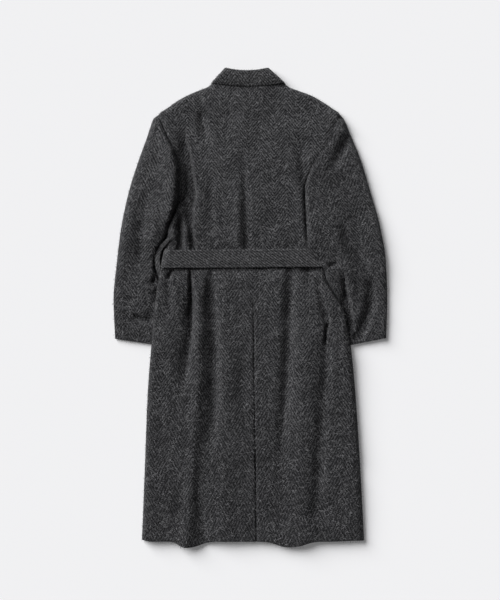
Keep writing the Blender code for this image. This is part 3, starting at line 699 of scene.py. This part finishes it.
def underlap_points():
    """Strip behind the vent, made from the back's own surface, lowered."""
    y = rows_between(SECTIONS[0].y, VENT_TOP, PLAIN_ROW_STEP)
    x = SEAM(y)[:, None] + np.linspace(-UNDERLAP_LEFT, UNDERLAP_RIGHT, UNDERLAP_COLUMNS)
    y = down(y, x.shape[1])
    points = np.stack([x, y + hem_shift(x, y), back_height(x, y) - VENT_DROP], axis=2)
    return points, np.stack([x, y], axis=2)


def front_points(side):
    """Lower face of one front, the right one raised where it lies over the left."""
    y = rows_between(SECTIONS[0].y + FRONT_HEM_UP, SECTIONS[-1].y, PLAIN_ROW_STEP)
    seam = SEAM(y)
    edge = BODY[side](y)
    half = np.abs(edge - seam)
    lap = np.minimum(OVERLAP, LAP_SHARE * half)
    ramp = np.minimum(OVERLAP_RAMP, RAMP_SHARE * half)
    stretch = edge_stretch(y, side)
    if side == "left":
        x = spread(edge, seam + lap, UNDER_STEPS, (0.0,), FRONT_COLUMNS, stretch)
    else:
        inner = spread(seam - lap, seam + lap, (0.0,), (0.0,), LAP_COLUMNS)
        step = spread(seam + lap + RAMP_FIRST * ramp, seam + lap + ramp, (0.0,), (0.0,), LAP_COLUMNS)
        rest = FRONT_COLUMNS - 2 * LAP_COLUMNS
        outer = spread(seam + lap + RAMP_PAST * ramp, edge, (0.0,), UNDER_STEPS, rest, stretch)
        x = np.concatenate([inner, step, outer], axis=1)
    y = down(y, x.shape[1])
    lift = front_lift(y)
    if side == "right":
        lift = lift + OVERLAP_RISE * ease(((seam + lap + ramp)[:, None] - x) / (RAMP_RUN * ramp)[:, None])
    curl = 1 - rounded(side_distance(x, y, side), CURL)
    lift = lift + (UNDER_SEAM_Z - lift) * curl * closed(y)
    return np.stack([x, y, lift], axis=2), np.stack([x - SEAM(y), y], axis=2)


def sleeve_points(side, table, folds, upper, seed):
    """Upper or under side of one sleeve, between its outer edge and the body."""
    sections = columns_of(table, "y_inner")
    sign = -1 if side == "left" else 1
    row_step = SLEEVE_ROW_STEP if upper else PLAIN_ROW_STEP
    y_in = rows_between(table[0].y_inner, table[-1].y_inner, row_step)
    space = MEET[side if upper else "under"](y_in)
    x_in = BODY[side](y_in) + sign * space
    x_out = sections["x_outer"](y_in)
    y_out = sections["y_outer"](y_in)
    width = np.abs(x_out - x_in)
    steps = EDGE_STEPS if upper else UNDER_STEPS
    place = spread(np.zeros_like(width), width, steps, steps, SLEEVE_COLUMNS if upper else UNDER_COLUMNS)
    share = place / width[:, None]
    x = x_out[:, None] + (x_in - x_out)[:, None] * share
    y = y_out[:, None] + (y_in - y_out)[:, None] * share
    outer_roll = OUTER_ROLL[side]
    room = np.minimum(1.0, ROOM_SHARE * width / outer_roll)[:, None]
    from_outer = place
    from_inner = width[:, None] - place
    if upper:
        lift_out = sections["lift_outer"](y_in)[:, None]
        lift_in = sections["lift_inner"](y_in)[:, None]
        height = lift_out + (lift_in - lift_out) * ease(share)
        height = height + fold_height(folds, x, y) + uneven(x, y, seed)
        height = soft_max(height, SLEEVE_FLOOR)
        height = height - EDGE_FALL * (1 - rounded(y_in - table[0].y_inner, EDGE_ROUND))[:, None]
        cuff_line = (y_in - table[0].y_inner - CUFF_STITCH_UP)[:, None]
        height = height - HEM_STITCH_DIP * np.exp(-(cuff_line / HEM_STITCH_REACH) ** 2)
        seam = BODY["edge_" + side](y_in)[:, None]
        edge_in = seam + MEET["rise_" + side](y_in)[:, None]
        height = edge_in + (height - edge_in) * roll(from_inner, SLEEVE_ROLL[side] * room, seam)
        height = SEAM_Z + (height - SEAM_Z) * rounded(from_outer, outer_roll * room)
    else:
        height = UNDER_SEAM_Z * (1 - rounded(from_outer, CURL * room))
    points = np.stack([x, y, height], axis=2)
    if side == "right":
        points = points[:, ::-1]
    across = run_along(points, 1)
    if side == "right":
        across = across - across[:, -1:]
    middle = points.shape[1] // 2
    along = run_along(points[:, middle:middle + 1], 0) - GRAIN_START[side]
    return points, np.stack([across, np.repeat(along, points.shape[1], axis=1)], axis=2)


def collar_points():
    """Flattened ring of sections, open at the front, from leaf edge over the fold to the neck seam."""
    rows = columns_of(COLLAR_ROWS, "step")
    runs = [np.linspace(run.start, run.end, run.rows)[1:] for run in COLLAR_RUNS]
    step = np.concatenate([[COLLAR_RUNS[0].start], *runs])[:, None]
    half = rows["half"](step)
    straight = half - COLLAR_TURN
    low = rows["low"](step)
    high = rows["high"](step)
    run = np.linspace(0.0, 1.0, COLLAR_FRONT_COLUMNS)[:-1]
    turn = np.radians(np.linspace(-90.0, 90.0, COLLAR_TURN_COLUMNS))
    across = np.linspace(-1.0, 1.0, COLLAR_TOP_COLUMNS)[1:-1]
    front_x = COLLAR_OPENING + (straight - COLLAR_OPENING) * run
    side_x = straight + COLLAR_TURN * np.cos(turn)
    side_z = (low + high) / 2 + (high - low) / 2 * np.sin(turn)
    x = np.concatenate([-front_x, -side_x, straight * across, side_x[:, ::-1], front_x[:, ::-1]], axis=1)
    flat = np.broadcast_to(low, front_x.shape)
    top = np.broadcast_to(high, (len(step), len(across)))
    z = np.concatenate([flat, side_z, top, side_z[:, ::-1], flat], axis=1)
    bend = np.minimum(np.abs(x) / half, 1.0) ** 2
    y = rows["y_middle"](step) + (rows["y_side"](step) - rows["y_middle"](step)) * bend
    x = x + rows["centre"](step)
    upper = ease((z - COLLAR_FACE_FROM) / COLLAR_FACE_OVER)
    upper = upper * ease((COLLAR_LEAF_END - step) / COLLAR_LEAF_RAMP)
    z = z + upper * (fold_height(COLLAR_FOLDS, x, y) + COLLAR_UNEVEN * uneven(x, y, COLLAR_SEED))
    z = z - upper * COLLAR_EDGE_FALL * (1 - rounded(step, COLLAR_EDGE_STEP))
    points = np.stack([x, y, z], axis=2)
    along = run_along(points, 0)
    ring = run_along(points, 1)
    middle = points.shape[1] // 2
    return points, np.stack([ring - ring[:, middle:middle + 1], along], axis=2)


def belt_points():
    """Band round the waist: front end, side, across the back, side, front end."""
    edge = np.array(BELT_EDGE_STEPS)
    middle = np.linspace(edge[-1], BELT_WIDTH - edge[-1], BELT_ROWS)[1:-1]
    inset = np.concatenate([edge, middle, BELT_WIDTH - edge[::-1]])
    share = (inset / BELT_WIDTH - 0.5)[:, None]
    y_left = belt_middle(BELT_SIDES[0]) + share * BELT_WIDTH
    y_right = belt_middle(BELT_SIDES[1]) + share * BELT_WIDTH
    left = BODY["left"](y_left) - BELT_FREE - BELT_CLOTH
    right = BODY["right"](y_right) + BELT_FREE + BELT_CLOTH
    top = BELT_LEVEL + BELT_CLOTH
    angle = np.radians(np.linspace(0.0, 90.0, BELT_TURN_COLUMNS))
    climb = np.array(BELT_CLIMB_STEPS)
    side_x = np.concatenate([BELT_CORNER * (1 - np.sin(angle)), climb])
    raised = SEAM_Z + (top - SEAM_Z) * rounded(climb, BELT_END)
    side_z = np.concatenate([BELT_CORNER * (1 - np.cos(angle)), raised])
    run = np.linspace(0.0, 1.0, BELT_BACK_COLUMNS)
    outward = np.linspace(0.0, BELT_FRONT_SHARE, BELT_FRONT_COLUMNS)
    inward = np.linspace(BELT_FRONT_SHARE, 0.0, BELT_FRONT_COLUMNS)
    end_left, end_right = BELT_FRONT_ENDS
    front_left = end_left + (left - end_left) * outward
    front_right = end_right + (right - end_right) * inward
    over = left + BELT_END + (right - left - 2 * BELT_END) * run
    x = np.concatenate([front_left, left + side_x, over, right - side_x[::-1], front_right], axis=1)
    flat = np.zeros(BELT_FRONT_COLUMNS)
    level = np.concatenate([flat, side_z, np.full(len(run), top), side_z[::-1], flat])
    z = np.broadcast_to(level, x.shape)
    y = y_left + (y_right - y_left) * (x - left) / (right - left)
    upper = ease((z - BELT_FACE_FROM) / BELT_FACE_OVER)
    inside = np.minimum(inset, BELT_WIDTH - inset)[:, None]
    z = z + upper * BELT_WAVE * drift(x, y, BELT_WAVE_SIZE, BELT_SEED)
    z = z - upper * BELT_STITCH_DIP * np.exp(-((inside - BELT_STITCH_IN) / BELT_STITCH_REACH) ** 2)
    z = z - upper * BELT_EDGE_FALL * (1 - rounded(inside, BELT_EDGE_ROUND))
    y = y + upper * BELT_STRAY * drift(x, 0 * y, BELT_STRAY_SIZE, BELT_SEED + 1)
    points = np.stack([x, y, z], axis=2)
    across = np.repeat(BELT_GRAIN * (BELT_WIDTH - inset[:, None]), x.shape[1], axis=1)
    return points, np.stack([across, run_along(points, 1)], axis=2)


def loop_points(table, lean):
    """Narrow strip sewn to the side above and below the belt, bowing out round it."""
    path = columns_of(table, "y")
    y = np.linspace(table[0].y, table[-1].y, LOOP_ROWS)[:, None]
    wide = np.linspace(-0.5, 0.5, LOOP_COLUMNS)
    x = path["x"](y) + math.sin(lean) * LOOP_WIDTH * wide
    z = path["z"](y) + math.cos(lean) * LOOP_WIDTH * wide + LOOP_CROWN * (1 - (2 * wide) ** 2)
    points = np.stack([x, np.repeat(y, len(wide), axis=1), z], axis=2)
    return points, np.stack([run_along(points, 1), run_along(points, 0)], axis=2)


class Socket:
    """A node's output that takes part in Python expressions, in a shader or a geometry tree."""

    def __init__(self, tree, output=None):
        self.tree = tree
        self.output = output

    def add(self, kind, settings=None, sockets=None, output=0):
        """New node of any kind: its settings first, then values or links for its sockets."""
        node = self.tree.nodes.new(kind)
        for name, value in (settings or {}).items():
            setattr(node, name, value)
        for name, value in (sockets or {}).items():
            if isinstance(value, Socket):
                self.tree.links.new(value.output, node.inputs[name])
            else:
                node.inputs[name].default_value = value
        return Socket(self.tree, node.outputs[output] if node.outputs else None)

    def out(self, name):
        """Another output of the same node."""
        return Socket(self.tree, self.output.node.outputs[name])

    def math(self, operation, *values):
        return self.add("ShaderNodeMath", {"operation": operation}, dict(enumerate(values)))

    def __add__(self, other):
        return self.math("ADD", self, other)

    __radd__ = __add__

    def __sub__(self, other):
        return self.math("SUBTRACT", self, other)

    def __rsub__(self, other):
        return self.math("SUBTRACT", other, self)

    def __mul__(self, other):
        return self.math("MULTIPLY", self, other)

    __rmul__ = __mul__

    def __truediv__(self, other):
        return self.math("DIVIDE", self, other)

    def __lt__(self, other):
        return self.math("LESS_THAN", self, other)

    def floor(self):
        return self.math("FLOOR", self)

    def between(self, low, high):
        """Nought below low, one above high, eased between."""
        return self.add("ShaderNodeMapRange", {"interpolation_type": "SMOOTHSTEP"},
                        {"Value": self, "From Min": low, "From Max": high})

    def noise(self, scale, detail=2.0):
        """Noise around nought on a vector."""
        texture = self.add("ShaderNodeTexNoise", {"noise_dimensions": "2D"},
                           {"Vector": self, "Scale": scale, "Detail": detail})
        return texture - 0.5

    def hairs(self, turn, thick, length):
        """Noise drawn out into short hairs that lie at an angle."""
        turned = self.add("ShaderNodeVectorRotate", {"rotation_type": "Z_AXIS"},
                          {"Vector": self, "Angle": turn})
        drawn = self.add("ShaderNodeVectorMath", {"operation": "MULTIPLY"},
                         {0: turned, 1: (1 / thick, 1 / length, 1.0)})
        return drawn.noise(1.0, 1.0)


def principled(name, values):
    """New material with the given values of its shader's sockets."""
    material = bpy.data.materials.new(name)
    material.use_nodes = True
    shader = material.node_tree.nodes["Principled BSDF"]
    for socket, value in values.items():
        shader.inputs[socket].default_value = value
    return material


def yarns(along, grain, noise, spacing):
    """Count of yarns in one direction, on lines that wander and shiver a little."""
    wander, shiver = noise
    return (along + WANDER * grain.noise(wander) + SHIVER * grain.noise(shiver)) / spacing


def tweed(name, dark, light, column_ends=COLUMN_ENDS):
    """Hairy herringbone: light ends over dark picks in a two-and-two twill that turns at each column, with a
    painted highlight along each light yarn, painted shade toward the hem and painted light toward the
    collar.
    """
    material = principled(name, TWEED_FINISH)
    tree = material.node_tree
    shader = tree.nodes["Principled BSDF"]
    start = Socket(tree)
    grain = start.add("ShaderNodeUVMap", {"uv_map": GRAIN})
    place = start.add("ShaderNodeSeparateXYZ", None, {0: grain})
    rise = place.out("Y")
    ends = yarns(place.out("X"), grain, END_NOISE, END_SPACING)
    picks = yarns(rise * (1.0 + PICK_DRAW * rise), grain, PICK_NOISE, PICK_SPACING)
    end = ends.floor()
    pick = picks.floor()
    turn = start.math("PINGPONG", end + 0.5, float(column_ends))
    step = start.math("FLOORED_MODULO", pick - turn + 0.5, 4.0)
    end_up = step < 1.5
    end_side = (ends - end) * 2.0 - 1.0
    pick_side = (picks - pick) * 2.0 - 1.0
    end_round = 1.0 - end_side * end_side
    pick_round = 1.0 - pick_side * pick_side
    knot = start.add("ShaderNodeCombineXYZ", None, {"X": end, "Y": pick})
    tuft = start.add("ShaderNodeTexWhiteNoise", {"noise_dimensions": "2D"}, {"Vector": knot})
    worn = grain.noise(130.0, 2.0).between(-0.20, 0.20)
    strand = grain.hairs(0.0, 0.0006, 0.0060)
    cloud = grain.noise(9.0, 3.0)
    speckle = grain.noise(260.0, 2.0)
    # Ramp along the grain for the painted shade toward the hem and painted light toward the collar, and for
    # the blur toward the hem
    fade = rise.between(PAINTED_FALLOFF_FROM, PAINTED_FALLOFF_TO)
    end_tone = END_TONE + (END_DULL + END_WORN * worn) * (TUFT_LEAST + TUFT_MORE * tuft)
    # The yarn-middle term is a painted highlight along each light yarn; the strands are random tone
    end_tone = end_tone + END_CROWN_HIGHLIGHT * end_round + STRAND_TONE * strand
    pick_tone = PICK_TONE + PICK_TUFT * tuft
    shown = end_up + (0.5 - end_up) * HEM_BLUR * (1.0 - fade)
    tone = pick_tone + (end_tone - pick_tone) * shown
    pick_relief = pick_round * PICK_RELIEF
    relief = pick_relief + (end_round * (END_RELIEF + TUFT_RELIEF * tuft) - pick_relief) * end_up
    for hair in HAIRS:
        lying = grain.hairs(hair.turn, hair.thick, hair.length).between(hair.low, hair.high)
        tone = tone + hair.tone * lying
        relief = relief + hair.relief * lying
    tone = tone + SPECKLE_TONE * speckle + CLOUD_TONE * cloud
    # Painted shade toward the hem and painted light toward the collar, over the whole weave
    tone = (tone + BASE_TONE) * (HEM_PAINTED_SHADE + COLLAR_PAINTED_LIGHT * fade)
    relief = relief + SPECKLE_RELIEF * speckle
    colour = start.add("ShaderNodeMix", {"data_type": "RGBA", "clamp_factor": True},
                       {0: tone, 6: (*dark, 1.0), 7: (*light, 1.0)}, output=2)
    bump = start.add("ShaderNodeBump", None,
                     {"Strength": BUMP_STRENGTH, "Distance": BUMP_DISTANCE, "Height": relief})
    tree.links.new(colour.output, shader.inputs["Base Color"])
    tree.links.new(bump.output, shader.inputs["Normal"])
    return material


def fibre(name, colour):
    return principled(name, {"Base Color": (*colour, 1.0), "Roughness": 0.75, "Specular IOR Level": 0.25})


def link(name, mesh):
    piece = bpy.data.objects.new(name, mesh)
    bpy.context.scene.collection.objects.link(piece)
    return piece


def settled(piece):
    """The piece with its modifiers made into a plain mesh."""
    graph = bpy.context.evaluated_depsgraph_get()
    mesh = bpy.data.meshes.new_from_object(piece.evaluated_get(graph))
    mesh.name = piece.name
    piece.modifiers.clear()
    piece.data = mesh
    return piece


def skin(name, points, grain):
    """Open smooth sheet through a grid of points, with its grain as a map."""
    rows, columns = points.shape[:2]
    corner = np.arange(rows * columns).reshape(rows, columns)
    faces = np.stack([corner[:-1, :-1], corner[:-1, 1:], corner[1:, 1:], corner[1:, :-1]], axis=2)
    faces = faces.reshape(-1, 4)
    mesh = bpy.data.meshes.new(name)
    mesh.from_pydata(points.reshape(-1, 3).tolist(), [], faces.tolist())
    layer = mesh.uv_layers.new(name=GRAIN)
    layer.data.foreach_set("uv", grain.reshape(-1, 2)[faces.ravel()].ravel())
    mesh.shade_smooth()
    return mesh


def cloth(name, shape, thickness, offset, material):
    """A cut piece of cloth with its thickness, in place of the solid of the same name."""
    points, grain = shape
    piece = link(name + "_cloth", skin(name, points, grain))
    piece.data.materials.append(material)
    wall = piece.modifiers.new("wall", "SOLIDIFY")
    wall.thickness = thickness
    wall.offset = offset
    settled(piece)
    piece.data.set_sharp_from_angle(angle=SHARP_ANGLE)
    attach(piece, "root")
    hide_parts(name)
    return piece


def new_tree(name, result, given, inputs):
    """Empty geometry tree with one result, one given mesh and named inputs for its sizes."""
    tree = bpy.data.node_groups.new(name, "GeometryNodeTree")
    face = tree.interface
    face.new_socket(result, in_out="OUTPUT", socket_type="NodeSocketGeometry")
    face.new_socket(given, in_out="INPUT", socket_type="NodeSocketGeometry")
    for label, kind, value in inputs:
        face.new_socket(label, in_out="INPUT", socket_type="NodeSocket" + kind).default_value = value
    return tree


def nap_tree(dark, light):
    """Short bent fibres strewn over a skin, lying close to it."""
    tree = new_tree("nap", "Nap", "Skin",
                    [("Density", "Float", 40000.0), ("Length", "Float", 0.007), ("Width", "Float", 0.00036),
                     ("Light share", "Float", 0.34), ("Seed", "Int", 1)])
    start = Socket(tree)
    given = start.add("NodeGroupInput")
    seed = given.out("Seed")
    length = given.out("Length")
    points = start.add("GeometryNodeDistributePointsOnFaces", {"distribute_method": "RANDOM"},
                       {"Mesh": given.out("Skin"), "Density": given.out("Density"), "Seed": seed})
    strip = start.add("GeometryNodeMeshGrid", None,
                      {"Size X": given.out("Width"), "Size Y": length, "Vertices X": 2, "Vertices Y": 3})
    place = start.add("GeometryNodeInputPosition")
    spot = start.add("ShaderNodeSeparateXYZ", None, {0: place})
    part = spot.out("Y") / length + 0.5
    bow = start.add("ShaderNodeCombineXYZ", None,
                    {"X": part * part * length * FIBRE_LEAN, "Y": length * 0.5,
                     "Z": (part - part * part) * length * FIBRE_ARCH})
    bent = start.add("GeometryNodeSetPosition", None, {"Geometry": strip, "Offset": bow})
    turn = start.add("FunctionNodeRandomValue", {"data_type": "FLOAT_VECTOR"},
                     {0: FIBRE_TURNS[0], 1: FIBRE_TURNS[1], "Seed": seed + 3})
    rotation = start.add("FunctionNodeRotateRotation", {"rotation_space": "LOCAL"},
                         {"Rotation": points.out("Rotation"),
                          "Rotate By": start.add("FunctionNodeEulerToRotation", None, {0: turn})})
    size = start.add("FunctionNodeRandomValue", {"data_type": "FLOAT"},
                     {2: FIBRE_SIZES[0], 3: FIBRE_SIZES[1], "Seed": seed + 5}, output=1)
    strewn = start.add("GeometryNodeInstanceOnPoints", None,
                       {"Points": points, "Instance": bent, "Rotation": rotation, "Scale": size,
                        "Selection": start.math("GREATER_THAN", spot.out("Z"), NAP_FLOOR)})
    tone = start.add("FunctionNodeRandomValue", {"data_type": "FLOAT"}, {"Seed": seed + 7}, output=1)
    marked = start.add("GeometryNodeStoreNamedAttribute", {"data_type": "FLOAT", "domain": "INSTANCE"},
                       {"Geometry": strewn, "Name": "fibre_tone", "Value": tone})
    real = start.add("GeometryNodeRealizeInstances", None, {"Geometry": marked})
    kept = start.add("GeometryNodeInputNamedAttribute", {"data_type": "FLOAT"}, {"Name": "fibre_tone"})
    dull = start.add("GeometryNodeSetMaterial", None, {"Geometry": real, "Material": dark})
    bright = start.add("GeometryNodeSetMaterial", None,
                       {"Geometry": dull, "Selection": kept < given.out("Light share"), "Material": light})
    start.add("NodeGroupOutput", None, {0: bright})
    return tree


def grow(piece, tree, sizes):
    """Run a tree on a piece, its named inputs set by their identifiers, and keep the result as its mesh."""
    growth = piece.modifiers.new(tree.name, "NODES")
    growth.node_group = tree
    for item in tree.interface.items_tree:
        if item.item_type == "SOCKET" and item.in_out == "INPUT" and item.name in sizes:
            growth[item.identifier] = sizes[item.name]
    settled(piece)


def nap(name, shape, tree, slot, **sizes):
    """One piece of nap over the outer face of a cut piece."""
    piece = link(name, skin(name, *shape))
    grow(piece, tree, sizes)
    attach(piece, "root")
    return piece


def stitch_tree(thread):
    """Stitches laid end to end along a line, with a small space between them."""
    tree = new_tree("stitches", "Stitches", "Line",
                    [("Pitch", "Float", 0.0042), ("Length", "Float", 0.0032),
                     ("Thickness", "Float", 0.0007)])
    start = Socket(tree)
    given = start.add("NodeGroupInput")
    thickness = given.out("Thickness")
    path = start.add("GeometryNodeMeshToCurve", None, {0: given.out("Line")})
    even = start.add("GeometryNodeResampleCurve", {"mode": "LENGTH"},
                     {"Curve": path, "Length": given.out("Pitch")})
    bead = start.add("GeometryNodeMeshUVSphere", None, {"Segments": 6, "Rings": 5, "Radius": 0.5})
    size = start.add("ShaderNodeCombineXYZ", None,
                     {"X": given.out("Length"), "Y": thickness, "Z": thickness})
    heading = start.add("FunctionNodeAlignRotationToVector", {"axis": "X"},
                        {"Vector": start.add("GeometryNodeInputTangent")})
    laid = start.add("GeometryNodeInstanceOnPoints", None,
                     {"Points": even, "Instance": bead, "Rotation": heading, "Scale": size})
    real = start.add("GeometryNodeRealizeInstances", None, {"Geometry": laid})
    sewn = start.add("GeometryNodeSetMaterial", None, {"Geometry": real, "Material": thread})
    start.add("NodeGroupOutput", None, {0: sewn})
    return tree


def stitches(name, lines, tree, slot, **sizes):
    """One piece of sewing along some lines of points."""
    vertices = []
    edges = []
    for line in lines:
        first = len(vertices)
        vertices += [tuple(point) for point in line]
        edges += [(first + i, first + i + 1) for i in range(len(line) - 1)]
    mesh = bpy.data.meshes.new(name)
    mesh.from_pydata(vertices, edges, [])
    piece = link(name, mesh)
    grow(piece, tree, sizes)
    piece.data.shade_smooth()
    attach(piece, "root")
    return piece


def belt_stitch_lines(shape):
    """The belt's two rows of topstitching, just proud of its face."""
    points, grain = shape
    inset = grain[:, 0, 0] / BELT_GRAIN
    lines = []
    for place in (BELT_STITCH_IN, BELT_WIDTH - BELT_STITCH_IN):
        row = points[int(np.argmin(np.abs(inset - place)))]
        shown = row[row[:, 2] > STITCH_SHOWN_Z]
        lines.append(shown + np.array([0.0, 0.0, STITCH_PROUD]))
    return lines


def floor_and_light():
    """Pale floor, one large soft lamp from the upper left and an even white surround."""
    corners = [(FLOOR_REACH * x, FLOOR_REACH * y, 0) for x, y in ((-1, -1), (1, -1), (1, 1), (-1, 1))]
    mesh = bpy.data.meshes.new("floor")
    mesh.from_pydata(corners, [], [(0, 1, 2, 3)])
    mesh.materials.append(principled("pale_floor", {
        "Base Color": (FLOOR_TONE, FLOOR_TONE, FLOOR_TONE * FLOOR_BLUE, 1.0),
        "Roughness": 1.0,
        "Specular IOR Level": 0.0,
        "Emission Color": (1.0, 1.0, FLOOR_BLUE, 1.0),
        "Emission Strength": FLOOR_GLOW,
    }))
    floor = link("floor", mesh)
    lamp = bpy.data.lights.new("key", "SUN")
    lamp.energy = SUN_STRENGTH
    lamp.angle = SUN_ANGLE
    key = link("key", lamp)
    key.rotation_euler = (0.0, math.pi / 2 - SUN_RISE, SUN_TURN)
    world = bpy.data.worlds.new("surround")
    world.use_nodes = True
    sky = world.node_tree.nodes["Background"]
    sky.inputs["Color"].default_value = (1.0, 1.0, 1.0, 1.0)
    sky.inputs["Strength"].default_value = SKY
    bpy.context.scene.world = world
    bpy.context.scene.view_settings.view_transform = "Standard"


def camera_above():
    """Camera straight above, framed as the photograph is."""
    lens = bpy.data.cameras.new("camera")
    lens.sensor_width = SENSOR
    lens.lens = SENSOR * CAMERA_HEIGHT / (PHOTO_HEIGHT * PHOTO_SCALE)
    camera = link("camera", lens)
    camera.location = ((PHOTO_WIDTH / 2 - PHOTO_ORIGIN[0]) * PHOTO_SCALE,
                       (PHOTO_ORIGIN[1] - PHOTO_HEIGHT / 2) * PHOTO_SCALE, CAMERA_HEIGHT)
    bpy.context.scene.camera = camera


def dress():
    """Make every cut piece, its sewing and its nap."""
    coat = tweed("tweed", DARK_YARN, (0.222, 0.222, 0.233))
    # Lighter copy of the coat's tweed: painted light on the collar
    collar_tweed = tweed("collar_tweed", DARK_YARN, (0.305, 0.305, 0.315))
    # Lighter copy of the coat's tweed: painted light on the belt and its loops
    belt_tweed = tweed("belt_tweed", DARK_YARN, (0.275, 0.275, 0.285), BELT_COLUMN_ENDS)
    thread = fibre("charcoal_thread", (0.018, 0.018, 0.020))
    fur = nap_tree(fibre("dark_fibre", (0.014, 0.014, 0.016)), fibre("light_fibre", (0.24, 0.24, 0.248)))
    sewing = stitch_tree(thread)
    sleeves = {"left": (LEFT_SLEEVE, LEFT_SLEEVE_FOLDS), "right": (RIGHT_SLEEVE, RIGHT_SLEEVE_FOLDS)}
    for side, (table, folds) in sleeves.items():
        seed = SLEEVE_SEED[side]
        front = cloth("front_" + side, front_points(side), CLOTH, WALL_OVER, coat)
        back = back_points(side)
        hairs = nap("back_nap_" + side, back, fur, "tweed", Density=88000.0, Seed=seed)
        cloth("back_" + side, back, CLOTH, WALL_INSIDE, coat)
        under = cloth("sleeve_" + side + "_under", sleeve_points(side, table, folds, False, seed),
                      CLOTH, WALL_OVER, coat)
        upper = sleeve_points(side, table, folds, True, seed)
        hairs = nap("sleeve_nap_" + side, upper, fur, "tweed", Density=100000.0, Seed=seed + 2)
        cloth("sleeve_" + side + "_top", upper, CLOTH, WALL_INSIDE, coat)
    cloth("vent_underlap", underlap_points(), CLOTH, WALL_INSIDE, coat)
    collar = collar_points()
    hairs = nap("collar_nap", collar, fur, "collar_tweed", Density=90000.0, Length=0.0045, Seed=51)
    cloth("collar", collar, COLLAR_CLOTH, WALL_INSIDE, collar_tweed)
    belt = belt_points()
    hairs = nap("belt_nap", belt, fur, "belt_tweed", Density=80000.0, Length=0.0050, Seed=61)
    seams = stitches("belt_topstitch", belt_stitch_lines(belt), sewing, "belt_tweed", Pitch=0.0042)
    cloth("belt", belt, BELT_CLOTH, WALL_INSIDE, belt_tweed)
    for side, table in (("left", LEFT_LOOP), ("right", RIGHT_LOOP)):
        shape = loop_points(table, LOOP_LEAN[side])
        cloth("belt_loop_" + side, shape, LOOP_CLOTH, WALL_INSIDE, belt_tweed)


dress()
floor_and_light()
camera_above()
